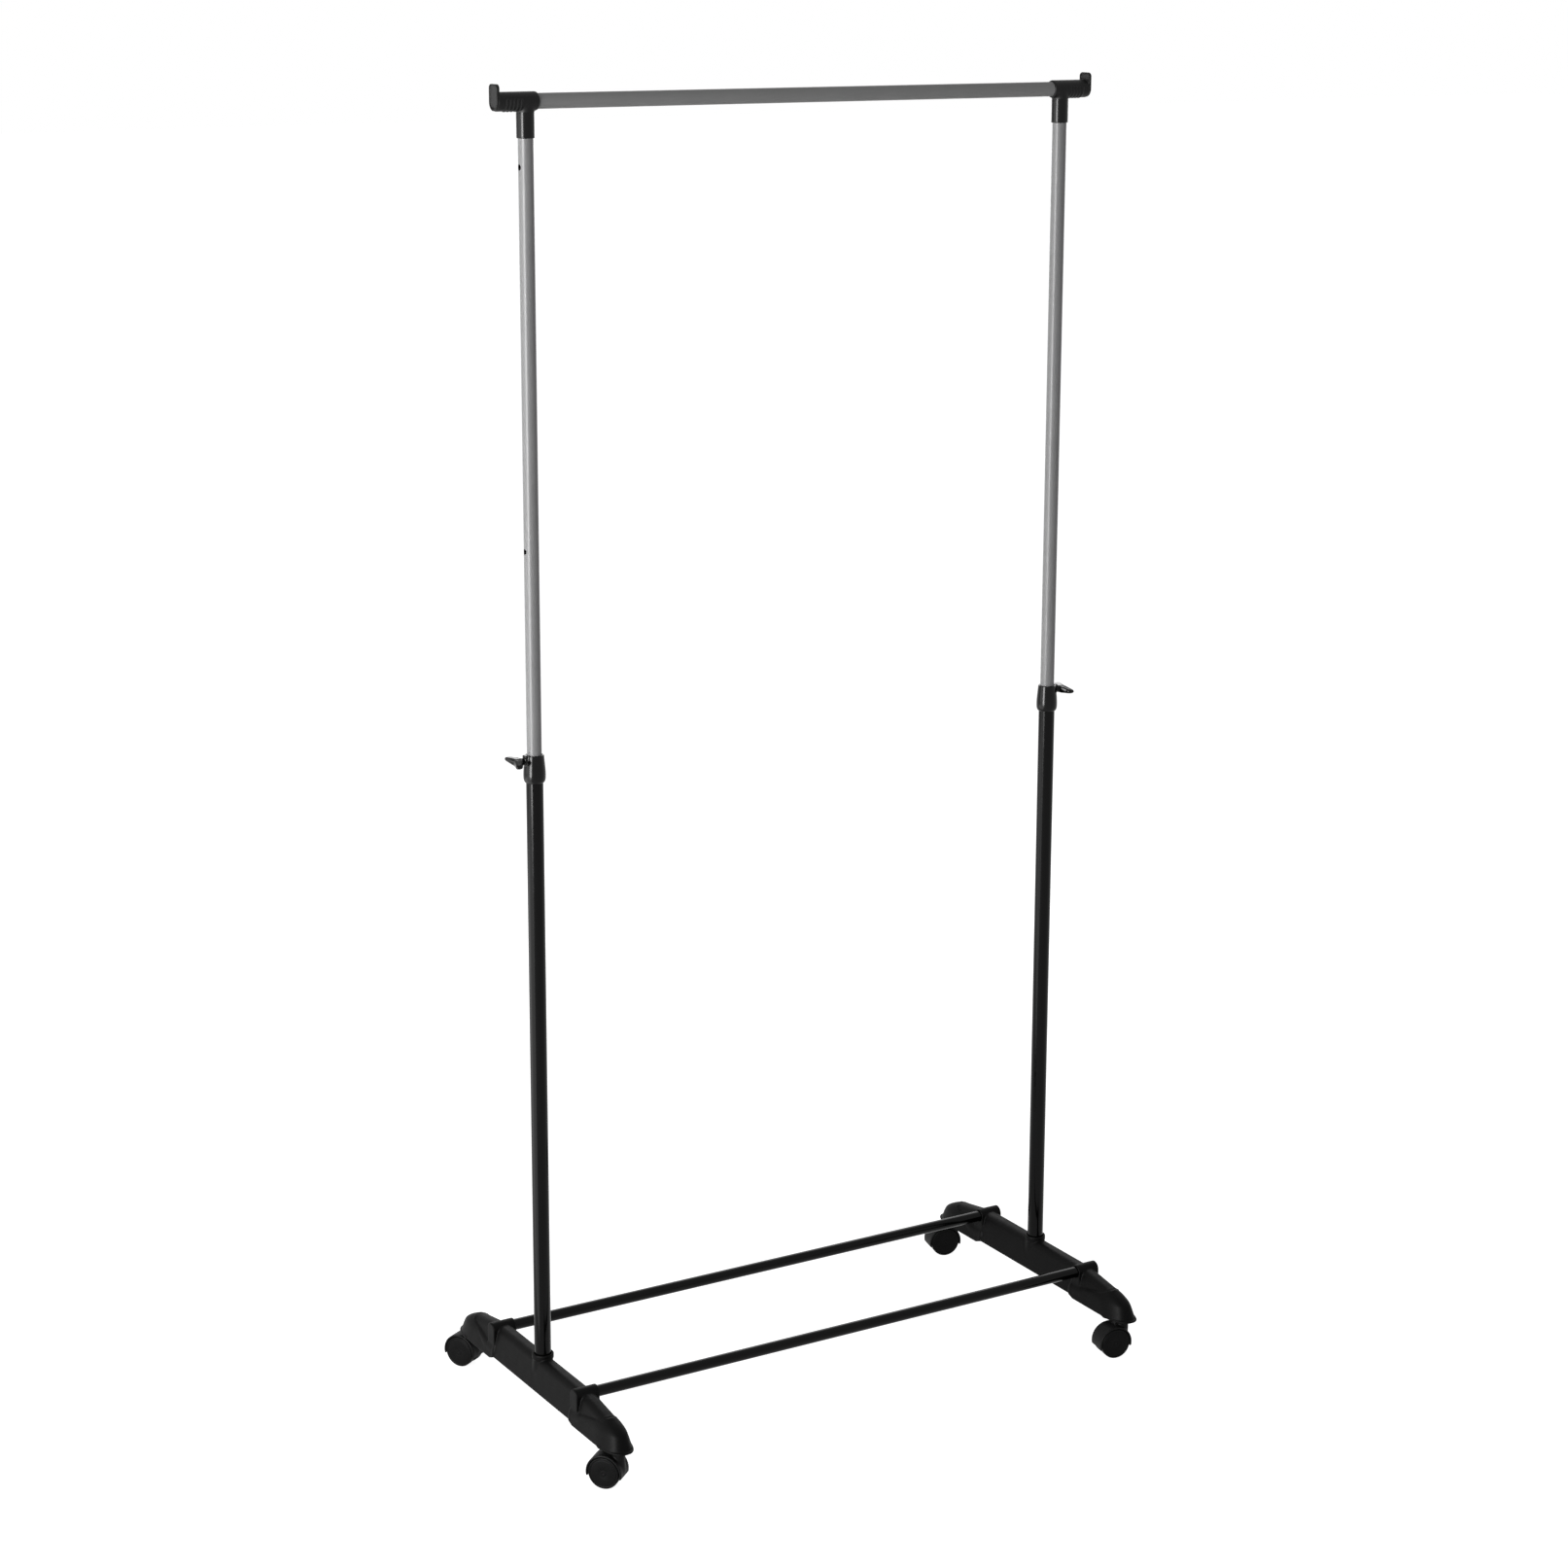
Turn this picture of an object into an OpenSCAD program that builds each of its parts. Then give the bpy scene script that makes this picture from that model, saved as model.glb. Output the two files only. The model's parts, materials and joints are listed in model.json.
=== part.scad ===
// Garment rail on casters: two telescopic poles, a hanging rail and a wheeled base.
// Units are millimetres. X runs along the hanging rail, Y from front (-) to rear (+),
// Z is up, and the origin lies on the floor midway between the poles.

/* [Overall] */
// Distance between the axes of the two poles
pole_spacing = 790; // [600:5:1000]
// Height of the hanging rail's axis above the floor, poles fully raised
hang_height = 1718; // [1500:1:1900]
// Length of a foot from nose to nose
foot_len = 463; // [446:1:540]

/* [Tubes] */
// Outer diameter of the hanging rail
rail_d = 19; // [16:0.5:25]
// Outer diameter of the upper poles
upper_d = 19; // [16:0.5:22]
// Outer diameter of the two base rails
base_d = 15; // [12:0.5:18]
// Wall thickness of every tube
tube_wall = 1; // [0.8:0.1:1.4]
// Radial gap between an upper pole and the lower pole it slides in
slide_gap = 0.5; // [0.4:0.1:1]
// Radial clearance of every pushed or pressed joint
fit = 0.05; // [0.02:0.01:0.1]

/* [Height setting] */
// Height of the rim of the clamp collars above the floor
clamp_top = 909; // [860:1:960]
// Height of a clamp collar
clamp_h = 36; // [32:1:45]
// Distance of the clamp screw's axis below the collar's rim
screw_drop = 7.5; // [7:0.5:12]
// Wall of the clamp collar at its thickest
clamp_wall = 3.3; // [2.5:0.1:5]
// Lip of the collar over the end of the lower pole
clamp_lip = 3; // [2:0.5:4]
// Length of each upper pole that stays inside its lower pole, poles fully raised
pole_overlap = 82; // [60:1:140]
// Least distance of the upper index hole below the hanging rail's axis
top_hole_drop = 78.5; // [55:0.5:120]
// Height of the middle index hole above the clamp screw
middle_hole_rise = 267; // [200:1:400]
// Diameter of the index holes
index_d = 5; // [4:0.5:6]
// Diameter of the clamp screw's shank
stud_d = 5; // [4:0.5:6]
// Length of the wing knob along its screw
wing_len = 17.5; // [15:0.5:24]
// Reach of each wing from the screw's axis
wing_reach = 18; // [14:0.5:24]
// Thickness of the wings
wing_t = 3.2; // [2.5:0.1:5]
// Turn of the left wing knob about its screw
wing_turn_left = 5; // [0:1:180]
// Turn of the right wing knob about its screw
wing_turn_right = 5; // [0:1:180]

/* [Tee connectors] */
// Wall around the hanging rail
tee_wall = 2.1; // [1.8:0.1:3]
// Wall around the upper pole
tee_stem_wall = 1.7; // [1.5:0.1:3]
// Reach of the tee's barrel inwards from the pole's axis
tee_inner = 15.5; // [14:0.5:30]
// Reach of the tee outwards from the pole's axis, over its tongue
tee_outer = 43; // [38:0.5:60]
// Reach of the tee's stem below the hanging rail's axis
tee_drop = 44; // [36:1:60]
// Thickness of the upright tongue that stops hangers
tongue_t = 4; // [3:0.5:6]
// Height of the tongue above the hanging rail's axis
tongue_rise = 21; // [18:0.5:30]
// Depth of the recess in each face of the tongue
tongue_recess = 1; // [0.5:0.1:1.3]

/* [Foot] */
// Height of the foot's underside above the floor, over the casters
foot_clear = 51; // [49:0.5:60]
// Rise of the underside between the two end pods
belly_rise = 4; // [2:0.5:6]
// Height of the base rails' axes above the foot's underside
base_rail_rise = 39; // [36:0.5:44]
// Distance of each base rail from the nearer nose of the foot
base_rail_inset = 111.5; // [103:0.5:126]
// Wall of the foot's moulded shell
foot_wall = 3; // [2:0.25:4]
// Half width of the beam at its underside
beam_half = 19.5; // [18:0.5:24]
// Height of the beam's ridge above the foot's underside
ridge_rise = 44.5; // [41:0.5:48]
// Radius of the beam's rounded ridge
ridge_r = 10; // [8:0.5:11]
// Fall of the ridge over each end pod, in degrees
ridge_fall = 8; // [5:0.5:10]
// Half width of an end pod at its underside
pod_half = 21.5; // [20.5:0.5:26]
// Length of the rounded part of a pod's nose, seen from above
nose_len = 46; // [36:1:52]
// Radius of a pod's back, seen from the side
back_r = 75; // [66:1:84]
// Reach of the rim around a pod's underside
lip_w = 5; // [3:0.5:6]
// Wall of the bosses that hold the base rails
boss_wall = 2.3; // [2:0.1:3]
// Reach of a rail boss outwards from the foot's middle plane
boss_out = 17.5; // [16:0.5:22]
// Reach of a rail boss inwards from the foot's middle plane
boss_in = 16; // [14:0.5:20]
// Wall of the collar that holds the lower pole
collar_wall = 3.2; // [2.5:0.1:4]
// Height of that collar's rim above the foot's underside
collar_rise = 50; // [46:0.5:60]
// Thickness of the floor under the lower pole
seat_t = 8; // [6:0.5:10]

/* [Casters] */
// Distance of each caster's stem from the nose of its foot
stem_inset = 21.5; // [20:0.5:26]
// Diameter of the caster wheels
wheel_d = 42; // [38:0.5:44]
// Width of one caster wheel
wheel_w = 9.8; // [8:0.1:11]
// Thickness of the caster's middle web, between its wheels
web_t = 7; // [6:0.25:9]
// Distance of the axle from the swivel axis
trail = 16; // [14:0.5:18]
// Thickness of the hood over the wheels
hood_t = 2.4; // [1.8:0.1:3]
// Gap between a wheel and the hood
wheel_gap = 0.8; // [0.5:0.1:1.2]
// Diameter of the caster's stem
stem_d = 8; // [7:0.5:9]
// Length of the stem inside the foot
stem_len = 16; // [12:0.5:16.5]
// Diameter of the axle
axle_d = 5; // [4:0.5:6]
// Direction in which the front left caster trails
trail_front_left = 130; // [0:1:359]
// Direction in which the rear left caster trails
trail_rear_left = 120; // [0:1:359]
// Direction in which the front right caster trails
trail_front_right = 171; // [0:1:359]
// Direction in which the rear right caster trails
trail_rear_right = 166; // [0:1:359]

/* [Fasteners] */
// Diameter of the bolt that holds each lower pole to its foot
bolt_d = 6; // [5:0.5:8]
// Length of the threaded plug in the end of a lower pole
plug_len = 20; // [15:1:30]
// Diameter of the screws that pin the base rails
pin_d = 4; // [3:0.25:5]

/* [Hidden] */
$fn = 64;

LEFT = -1;
RIGHT = 1;
FRONT = -1;
REAR = 1;
// Overshoot of a cut past the face that it opens
cut = 1;
// Clearance between faces that move past each other
run_gap = 0.3;

// Tubes
rail_r = rail_d / 2;
upper_r = upper_d / 2;
lower_r = upper_r + slide_gap + tube_wall;
lower_bore_r = lower_r - tube_wall;
base_r = base_d / 2;

// Tee connectors, measured from the crossing of the rail's and the pole's axes
barrel_r = rail_r + fit + tee_wall;
tee_stem_r = upper_r + fit + tee_stem_wall;
tee_bevel = 1.5;
tee_floor = 1.4;
pole_head = rail_r + fit + tee_floor;
rail_past_pole = 10;
core_r = rail_r - 1.5;
tongue_r = barrel_r - 0.6;
tongue_rim = 2;
rib_count = 5;
rib_pitch = 4;
rib_w = 1.6;
rib_h = 0.5;
rib_inset = 12;

// Foot, in heights above the floor
belly_z = foot_clear + belly_rise;
base_rail_z = foot_clear + base_rail_rise;
ridge_top = foot_clear + ridge_rise;
ridge_z = ridge_top - ridge_r;
ridge_flat = 2;
boss_r = base_r + fit + boss_wall;
collar_top = foot_clear + collar_rise;
collar_r = lower_r + fit + collar_wall;
collar_band = 8;
column_r = collar_r - 0.7;
seat_z = belly_z + seat_t;
ramp = 10;
nose_y = foot_len / 2;
stem_y = nose_y - stem_inset;
base_rail_y = nose_y - base_rail_inset;
pod_start = base_rail_y;
lip_h = 3;
// Shape of a pod: its nose is turned about an axis along Y, and its upper edge climbs the ridge
nose_axis_z = foot_clear + 7;
pod_top_r = 11.5;
pod_top = ridge_top - 6.5;
pod_top_z = pod_top - pod_top_r;
back_z = pod_top - back_r;
back_y = nose_y - lip_w - sqrt(back_r * back_r - (nose_axis_z - back_z) * (nose_axis_z - back_z));
edge_z = ridge_top - 22;
edge_climb_y = pod_start + 50;
edge_climb = 5;
edge_end_climb = 11;
crest_y = nose_y - 41;
stem_boss_r = stem_d / 2 + 4;
sleeve_r = stem_d / 2 + 1;
sleeve_len = stem_len + 1;

// Poles
pole_top = hang_height - pole_head;
lower_top = clamp_top - clamp_lip;
screw_z = clamp_top - screw_drop;
plug_top = seat_z + plug_len;
stop_gap = 3;
bush_flange = 3;
upper_bottom = clamp_top - pole_overlap;
// How far the rail can be lowered: to the plugs, or until its upper index hole meets the clamp screw
drop = min(upper_bottom - bush_flange - stop_gap - plug_top, hang_height - top_hole_drop - screw_z);
bush_len = 15;
bush_wall = 2;

// Clamp collar and its screw, measured outwards from the pole's axis
neck_r = upper_r + run_gap;
clamp_r = lower_r + fit + clamp_wall;
clamp_top_r = lower_r + 1.2;
clamp_foot_r = lower_r + 0.6;
clamp_bevel = 3;
clamp_belly = 8;
clamp_bell = 15;
stud_r = stud_d / 2;
screw_boss_r = stud_r + 2.8;
screw_boss_end = clamp_r + 0.7;
insert_r = stud_r + 1.5;
insert_len = 3.5;
stud_tip = upper_r + run_gap;
dog_r = stud_r - 0.7;
dog_len = 1.5;
knob_start = screw_boss_end + 0.6;
knob_hub_r = stud_r + 1.9;
knob_hub_len = 10;
stud_end = knob_start + knob_hub_len - 2;

// Casters, with the swivel axis at the origin and the axle towards +X
wheel_r = wheel_d / 2;
hood_bore_r = wheel_r + wheel_gap;
hood_r = hood_bore_r + hood_t;
wheel_in = web_t / 2 + wheel_gap;
hood_half = wheel_in + wheel_w;
hood_drop = 5.5;
hood_bevel = 1.2;
swivel_boss_r = stem_d / 2 + 4.2;
swivel_boss_top = foot_clear - 2;
stem_flange_r = stem_d / 2 + 2.6;
stem_flange_t = 1.7;
stem_root = swivel_boss_top - 7.5;
axle_r = axle_d / 2;
axle_end = hood_half - 2.5;
hub_r = axle_r + 2.5;
tread_t = 3;
disc_t = 2;
tyre_round = 1.4;

caster_places = [
  [LEFT, FRONT, trail_front_left],
  [LEFT, REAR, trail_rear_left],
  [RIGHT, FRONT, trail_front_right],
  [RIGHT, REAR, trail_rear_right]
];

// Fasteners
bolt_r = bolt_d / 2;
bolt_head_r = bolt_d * 0.85;
bolt_head_h = bolt_d * 0.6;
washer_r = bolt_d * 1.1;
washer_t = 1.4;
plug_cap = 3;
bolt_room = 2;
pin_r = pin_d / 2;
pin_head_r = pin_d * 0.95;
pin_head_h = 2.4;
pin_seat_z = base_rail_z - base_r - 12;

// Puts its children at a pole with +X pointing away from the other pole
module at_pole(side) {
  translate([side * pole_spacing / 2, 0, 0])
    mirror([side == LEFT ? 1 : 0, 0, 0])
      children();
}

// Cylinder along +X that starts at x
module x_cylinder(x, r, len) {
  translate([x, 0, 0])
    rotate([0, 90, 0])
      cylinder(r = r, h = len);
}

// Tube along +Z from z0 to z1
module z_tube(r, z0, z1) {
  difference() {
    translate([0, 0, z0])
      cylinder(r = r, h = z1 - z0);
    translate([0, 0, z0 - cut])
      cylinder(r = r - tube_wall, h = z1 - z0 + 2 * cut);
  }
}

// Flat shape in the YZ plane, extruded along +X from x
module x_extrude(x, len) {
  translate([x, 0, 0])
    rotate([90, 0, 90])
      linear_extrude(height = len)
        children();
}

// Flat shape in the XZ plane, extruded along +Y from y
module y_extrude(y, len) {
  translate([0, y + len, 0])
    rotate([90, 0, 0])
      linear_extrude(height = len)
        children();
}

module top_rail() {
  half = pole_spacing / 2 + rail_past_pole;
  color([0.45, 0.45, 0.45])
    translate([0, 0, hang_height])
      difference() {
        x_cylinder(-half, rail_r, 2 * half);
        x_cylinder(-half - cut, rail_r - tube_wall, 2 * (half + cut));
      }
}

// Upright rounded outline of the tongue
module tongue_outline(inset) {
  r = tongue_r - inset;
  rise = tongue_rise - tongue_r;
  circle(r = r);
  translate([0, rise])
    circle(r = r);
  translate([-r, 0])
    square([2 * r, rise]);
}

// Raised rings under the outer half of the barrel, for grip
module tee_ribs() {
  first = tee_outer - tongue_t - rib_inset;
  intersection() {
    for (i = [0 : rib_count - 1])
      x_cylinder(first - i * rib_pitch, barrel_r + rib_h, rib_w);
    translate([-tee_inner, -2 * barrel_r, -2 * barrel_r])
      cube([tee_inner + tee_outer, 4 * barrel_r, 2 * barrel_r]);
  }
}

module tee_body() {
  len = tee_inner + tee_outer - tongue_t;
  translate([-tee_inner, 0, 0])
    rotate([0, 90, 0])
      rotate_extrude()
        polygon([[0, 0], [barrel_r - tee_bevel, 0], [barrel_r, 2 * tee_bevel], [barrel_r, len], [0, len]]);
  translate([0, 0, -tee_drop])
    rotate_extrude()
      polygon([
        [0, 0], [tee_stem_r - tee_bevel / 2, 0], [tee_stem_r, tee_bevel], [tee_stem_r, tee_drop], [0, tee_drop]
      ]);
  x_extrude(tee_outer - tongue_t, tongue_t)
    tongue_outline(0);
  tee_ribs();
}

module tee(side) {
  pocket_floor = barrel_r + 1;
  color([0.10, 0.10, 0.10])
    at_pole(side)
      translate([0, 0, hang_height])
        difference() {
          tee_body();
          x_cylinder(-tee_inner - cut, rail_r + fit, tee_inner + cut + rail_past_pole);
          x_cylinder(0, core_r, tee_outer - tongue_t - tongue_recess - cut);
          translate([0, 0, -tee_drop - cut])
            cylinder(r = upper_r + fit, h = tee_drop + cut - pole_head);
          x_extrude(tee_outer - tongue_recess, tongue_recess + cut)
            tongue_outline(tongue_rim);
          x_extrude(tee_outer - tongue_t - cut, tongue_recess + cut)
            intersection() {
              tongue_outline(tongue_rim);
              translate([-tongue_r, pocket_floor])
                square([2 * tongue_r, tongue_rise]);
            }
        }
}

module upper_pole(side) {
  color([0.68, 0.68, 0.69])
    at_pole(side)
      difference() {
        z_tube(upper_r, upper_bottom, pole_top);
        for (z = [0, middle_hole_rise, drop])
          translate([0, 0, screw_z + z])
            x_cylinder(0, index_d / 2, upper_r + cut);
      }
}

// Plastic bush that closes an upper pole and guides it inside the lower pole
module glide_bush(side) {
  bush_r = upper_r - tube_wall - fit;
  color([0.20, 0.20, 0.20])
    at_pole(side)
      difference() {
        union() {
          translate([0, 0, upper_bottom - bush_flange])
            cylinder(r = lower_bore_r - run_gap, h = bush_flange);
          translate([0, 0, upper_bottom - bush_flange])
            cylinder(r = bush_r, h = bush_flange + bush_len);
        }
        translate([0, 0, upper_bottom - bush_flange - cut])
          cylinder(r = bush_r - bush_wall, h = bush_flange + bush_len + 2 * cut);
      }
}

module clamp_body() {
  rotate_extrude()
    polygon([
      [0, clamp_top - clamp_h],
      [clamp_foot_r, clamp_top - clamp_h],
      [clamp_r - 0.4, clamp_top - clamp_h + clamp_bevel],
      [clamp_r, clamp_top - clamp_h + clamp_belly],
      [clamp_r - 0.3, clamp_top - clamp_h + clamp_bell],
      [clamp_top_r + 0.4, clamp_top - clamp_bevel],
      [clamp_top_r, clamp_top],
      [0, clamp_top]
    ]);
  translate([0, 0, screw_z])
    x_cylinder(0, screw_boss_r, screw_boss_end);
}

module height_clamp(side) {
  color([0.09, 0.09, 0.09])
    at_pole(side)
      difference() {
        clamp_body();
        translate([0, 0, clamp_top - clamp_h - cut])
          cylinder(r = lower_r + fit, h = clamp_h - clamp_lip + cut);
        translate([0, 0, clamp_top - clamp_h])
          cylinder(r = neck_r, h = clamp_h + cut);
        translate([0, 0, screw_z])
          x_cylinder(0, stud_r + run_gap, screw_boss_end + cut);
        translate([0, 0, screw_z])
          x_cylinder(screw_boss_end - insert_len, insert_r + fit, insert_len + cut);
      }
}

module clamp_inserts() {
  color([0.72, 0.58, 0.30])
    for (side = [LEFT, RIGHT])
      at_pole(side)
        translate([0, 0, screw_z])
          difference() {
            x_cylinder(screw_boss_end - insert_len, insert_r, insert_len);
            x_cylinder(screw_boss_end - insert_len - cut, stud_r + fit, insert_len + 2 * cut);
          }
}

module clamp_stud(side) {
  color([0.60, 0.60, 0.62])
    at_pole(side)
      translate([0, 0, screw_z]) {
        x_cylinder(stud_tip, dog_r, dog_len);
        x_cylinder(stud_tip + dog_len, stud_r, stud_end - stud_tip - dog_len);
      }
}

// Outline of one wing: x along the screw, y away from its axis
module wing_outline() {
  tip = knob_start + wing_len;
  tip_r = 2.5;
  waist = knob_start + knob_hub_len + 1;
  polygon([
    [knob_start + 1, 0], [knob_start + 1, knob_hub_r], [tip - 4 * tip_r, wing_reach - 2 * tip_r],
    [tip - 2 * tip_r, wing_reach - 0.4 * tip_r], [tip - tip_r, wing_reach], [tip, wing_reach - tip_r],
    [tip - 0.4 * tip_r, wing_reach - 2 * tip_r], [waist + 0.6 * tip_r, knob_hub_r + tip_r],
    [waist, knob_hub_r], [waist, 0]
  ]);
  translate([tip - tip_r, wing_reach - tip_r])
    circle(r = tip_r);
}

module wing_knob(side) {
  turn = side == LEFT ? wing_turn_left : wing_turn_right;
  color([0.10, 0.10, 0.10])
    at_pole(side)
      translate([0, 0, screw_z])
        difference() {
          union() {
            x_cylinder(knob_start, knob_hub_r, knob_hub_len);
            for (half = [0, 180])
              rotate([turn + half, 0, 0])
                translate([0, 0, -wing_t / 2])
                  linear_extrude(height = wing_t)
                    wing_outline();
          }
          x_cylinder(knob_start - cut, stud_r + fit, stud_end - knob_start + cut + fit);
        }
}

module lower_pole(side) {
  color([0.08, 0.08, 0.08])
    at_pole(side)
      difference() {
        z_tube(lower_r, seat_z, lower_top);
        translate([0, 0, screw_z])
          x_cylinder(0, stud_r + run_gap, lower_r + cut);
      }
}

// Threaded plugs in the lower ends of the lower poles
module pole_plugs() {
  color([0.35, 0.35, 0.35])
    for (side = [LEFT, RIGHT])
      at_pole(side)
        difference() {
          translate([0, 0, seat_z])
            cylinder(r = lower_bore_r - fit, h = plug_len);
          translate([0, 0, seat_z - cut])
            cylinder(r = bolt_r + fit, h = plug_len - plug_cap + cut);
        }
}

module pole_bolts() {
  head_z = belly_z - washer_t;
  color([0.62, 0.62, 0.64])
    for (side = [LEFT, RIGHT])
      at_pole(side) {
        translate([0, 0, head_z])
          cylinder(r = bolt_r, h = plug_top - plug_cap - bolt_room - head_z);
        translate([0, 0, head_z - bolt_head_h])
          cylinder(r = bolt_head_r, h = bolt_head_h);
      }
}

module pole_washers() {
  color([0.66, 0.66, 0.68])
    for (side = [LEFT, RIGHT])
      at_pole(side)
        translate([0, 0, belly_z - washer_t])
          difference() {
            cylinder(r = washer_r, h = washer_t);
            translate([0, 0, -cut])
              cylinder(r = bolt_r + fit, h = washer_t + 2 * cut);
          }
}

// Cross section of the beam, set in by inset
module beam_section(inset) {
  r = ridge_r - inset;
  bottom = inset > 0 ? belly_z - cut : belly_z;
  half = beam_half - inset;
  for (x = [-ridge_flat, ridge_flat])
    translate([x, ridge_z])
      circle(r = r);
  translate([-ridge_flat, ridge_z])
    square([2 * ridge_flat, r]);
  polygon([[-half, bottom], [half, bottom], [ridge_flat + r, ridge_z], [-ridge_flat - r, ridge_z]]);
}

// Cross section of an end pod, set in by inset
module pod_section(inset) {
  r = pod_top_r - inset;
  bottom = inset > 0 ? foot_clear - cut : foot_clear;
  half = pod_half - inset;
  for (x = [-ridge_flat, ridge_flat])
    translate([x, pod_top_z])
      circle(r = r);
  translate([-ridge_flat, pod_top_z])
    square([2 * ridge_flat, r]);
  polygon([[-half, bottom], [half, bottom], [ridge_flat + r, pod_top_z], [-ridge_flat - r, pod_top_z]]);
}

// Half outline of a pod's nose: x along the foot, y away from the nose's axis
module nose_half(inset) {
  intersection() {
    translate([back_y, back_z - nose_axis_z])
      circle(r = back_r - inset);
    translate([back_y, 0])
      square([back_r, back_r]);
  }
  translate([pod_start - ramp, 0])
    square([back_y - pod_start + ramp, back_z - nose_axis_z + back_r - inset]);
}

// Turned upper part of a pod's nose and the straight part below it
module nose(inset) {
  translate([0, 0, nose_axis_z])
    rotate([0, -90, 90])
      mirror([0, 0, 1])
        rotate_extrude()
          rotate([0, 0, 90])
            mirror([0, 1, 0])
              nose_half(inset);
  translate([0, 0, foot_clear - cut])
    linear_extrude(height = nose_axis_z - foot_clear + cut)
      for (side = [0, 1])
        mirror([side, 0])
          rotate([0, 0, 90])
            mirror([0, 1, 0])
              nose_half(inset);
}

// Side view of the space that a pod may fill, up to the edge that climbs the ridge
module pod_limit(inset) {
  bottom = inset > 0 ? foot_clear - cut : foot_clear;
  polygon([
    [pod_start - ramp, belly_z], [pod_start, bottom], [nose_y, bottom], [nose_y, ridge_top],
    [crest_y + 2, ridge_top], [crest_y, edge_z + edge_end_climb - inset],
    [edge_climb_y, edge_z + edge_climb - inset],
    [pod_start - ramp, edge_z - inset]
  ]);
}

// Rim around the underside of a pod's nose
module pod_lip() {
  power = 2 / 2.6;
  start = nose_y - nose_len;
  round_nose = [for (a = [0 : 10 : 180]) [
    pod_half * sign(cos(a)) * pow(abs(cos(a)), power),
    start + nose_len * pow(sin(a), power)
  ]];
  translate([0, 0, foot_clear])
    linear_extrude(height = lip_h)
      polygon(concat([[-pod_half, pod_start], [pod_half, pod_start]], round_nose));
}

module pod(inset) {
  intersection() {
    y_extrude(pod_start - ramp, nose_y - pod_start + ramp)
      pod_section(inset);
    nose(inset);
    x_extrude(-pod_half, 2 * pod_half)
      pod_limit(inset);
  }
}

// End of the ridge, falling towards the nose until the pod covers it
module ridge_end(inset) {
  translate([0, pod_start, ridge_z])
    rotate([-ridge_fall, 0, 0])
      translate([0, 0, -ridge_z])
        y_extrude(-ramp / 2, crest_y - pod_start + ramp / 2)
          intersection() {
            beam_section(inset);
            translate([-beam_half, edge_z - 10])
              square([2 * beam_half, ridge_top]);
          }
}

// Moulded body of the foot, set in by inset
module foot_mass(inset) {
  y_extrude(-pod_start, 2 * pod_start)
    beam_section(inset);
  for (end = [0, 180])
    rotate([0, 0, end]) {
      pod(inset);
      ridge_end(inset);
    }
}

// Upright wall with a round head that holds one base rail, along X
module rail_boss() {
  x_extrude(-boss_in, boss_in + boss_out) {
    translate([0, base_rail_z])
      circle(r = boss_r);
    translate([-boss_r, belly_z])
      square([2 * boss_r, base_rail_z - belly_z]);
  }
}

// Collar and column that hold the lower pole
module pole_socket() {
  translate([0, 0, belly_z])
    cylinder(r = column_r, h = collar_top - belly_z - 1);
  translate([0, 0, collar_top - collar_band])
    rotate_extrude()
      polygon([
        [0, 0], [column_r, 0], [collar_r, 1.5], [collar_r, collar_band - 1.2],
        [collar_r - 1.2, collar_band], [0, collar_band]
      ]);
}

// Column that holds a caster's sleeve, up to the pod's roof
module stem_socket() {
  intersection() {
    translate([0, stem_y, foot_clear])
      cylinder(r = stem_boss_r, h = sleeve_len + 2);
    pod(foot_wall / 2);
  }
}

module foot(side) {
  color([0.16, 0.16, 0.16])
    at_pole(side)
      difference() {
        union() {
          difference() {
            union() {
              foot_mass(0);
              for (end = [0, 180])
                rotate([0, 0, end])
                  pod_lip();
            }
            foot_mass(foot_wall);
          }
          pole_socket();
          for (y = [-base_rail_y, base_rail_y])
            translate([0, y, 0])
              rail_boss();
          for (end = [0, 180])
            rotate([0, 0, end])
              stem_socket();
        }
        translate([0, 0, seat_z])
          cylinder(r = lower_r + fit, h = collar_top);
        translate([0, 0, belly_z - cut])
          cylinder(r = bolt_r + 2 * run_gap, h = seat_t + 2 * cut);
        for (y = [-base_rail_y, base_rail_y])
          translate([0, y, 0]) {
            translate([0, 0, base_rail_z])
              x_cylinder(-boss_in - cut, base_r + fit, boss_in + cut + boss_out - boss_wall);
            translate([0, 0, belly_z - cut])
              cylinder(r = pin_head_r + run_gap, h = pin_seat_z - belly_z + cut);
            cylinder(r = pin_r + fit, h = base_rail_z);
          }
        for (y = [-stem_y, stem_y])
          translate([0, y, foot_clear - cut])
            cylinder(r = sleeve_r + fit, h = sleeve_len + cut);
      }
}

module base_rail(end) {
  half = pole_spacing / 2 + boss_out - boss_wall;
  color([0.07, 0.07, 0.07])
    translate([0, end * base_rail_y, base_rail_z])
      difference() {
        x_cylinder(-half, base_r, 2 * half);
        x_cylinder(-half - cut, base_r - tube_wall, 2 * (half + cut));
        for (side = [LEFT, RIGHT])
          translate([side * pole_spacing / 2, 0, -base_r - cut])
            cylinder(r = pin_r + fit, h = base_r + cut);
      }
}

// Screws that pin the base rails from below
module rail_screws() {
  color([0.60, 0.60, 0.62])
    for (side = [LEFT, RIGHT], end = [FRONT, REAR])
      translate([side * pole_spacing / 2, end * base_rail_y, pin_seat_z]) {
        translate([0, 0, -pin_head_h])
          cylinder(r = pin_head_r, h = pin_head_h);
        cylinder(r = pin_r, h = base_rail_z - base_r + 2 * tube_wall - pin_seat_z);
      }
}

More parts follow.
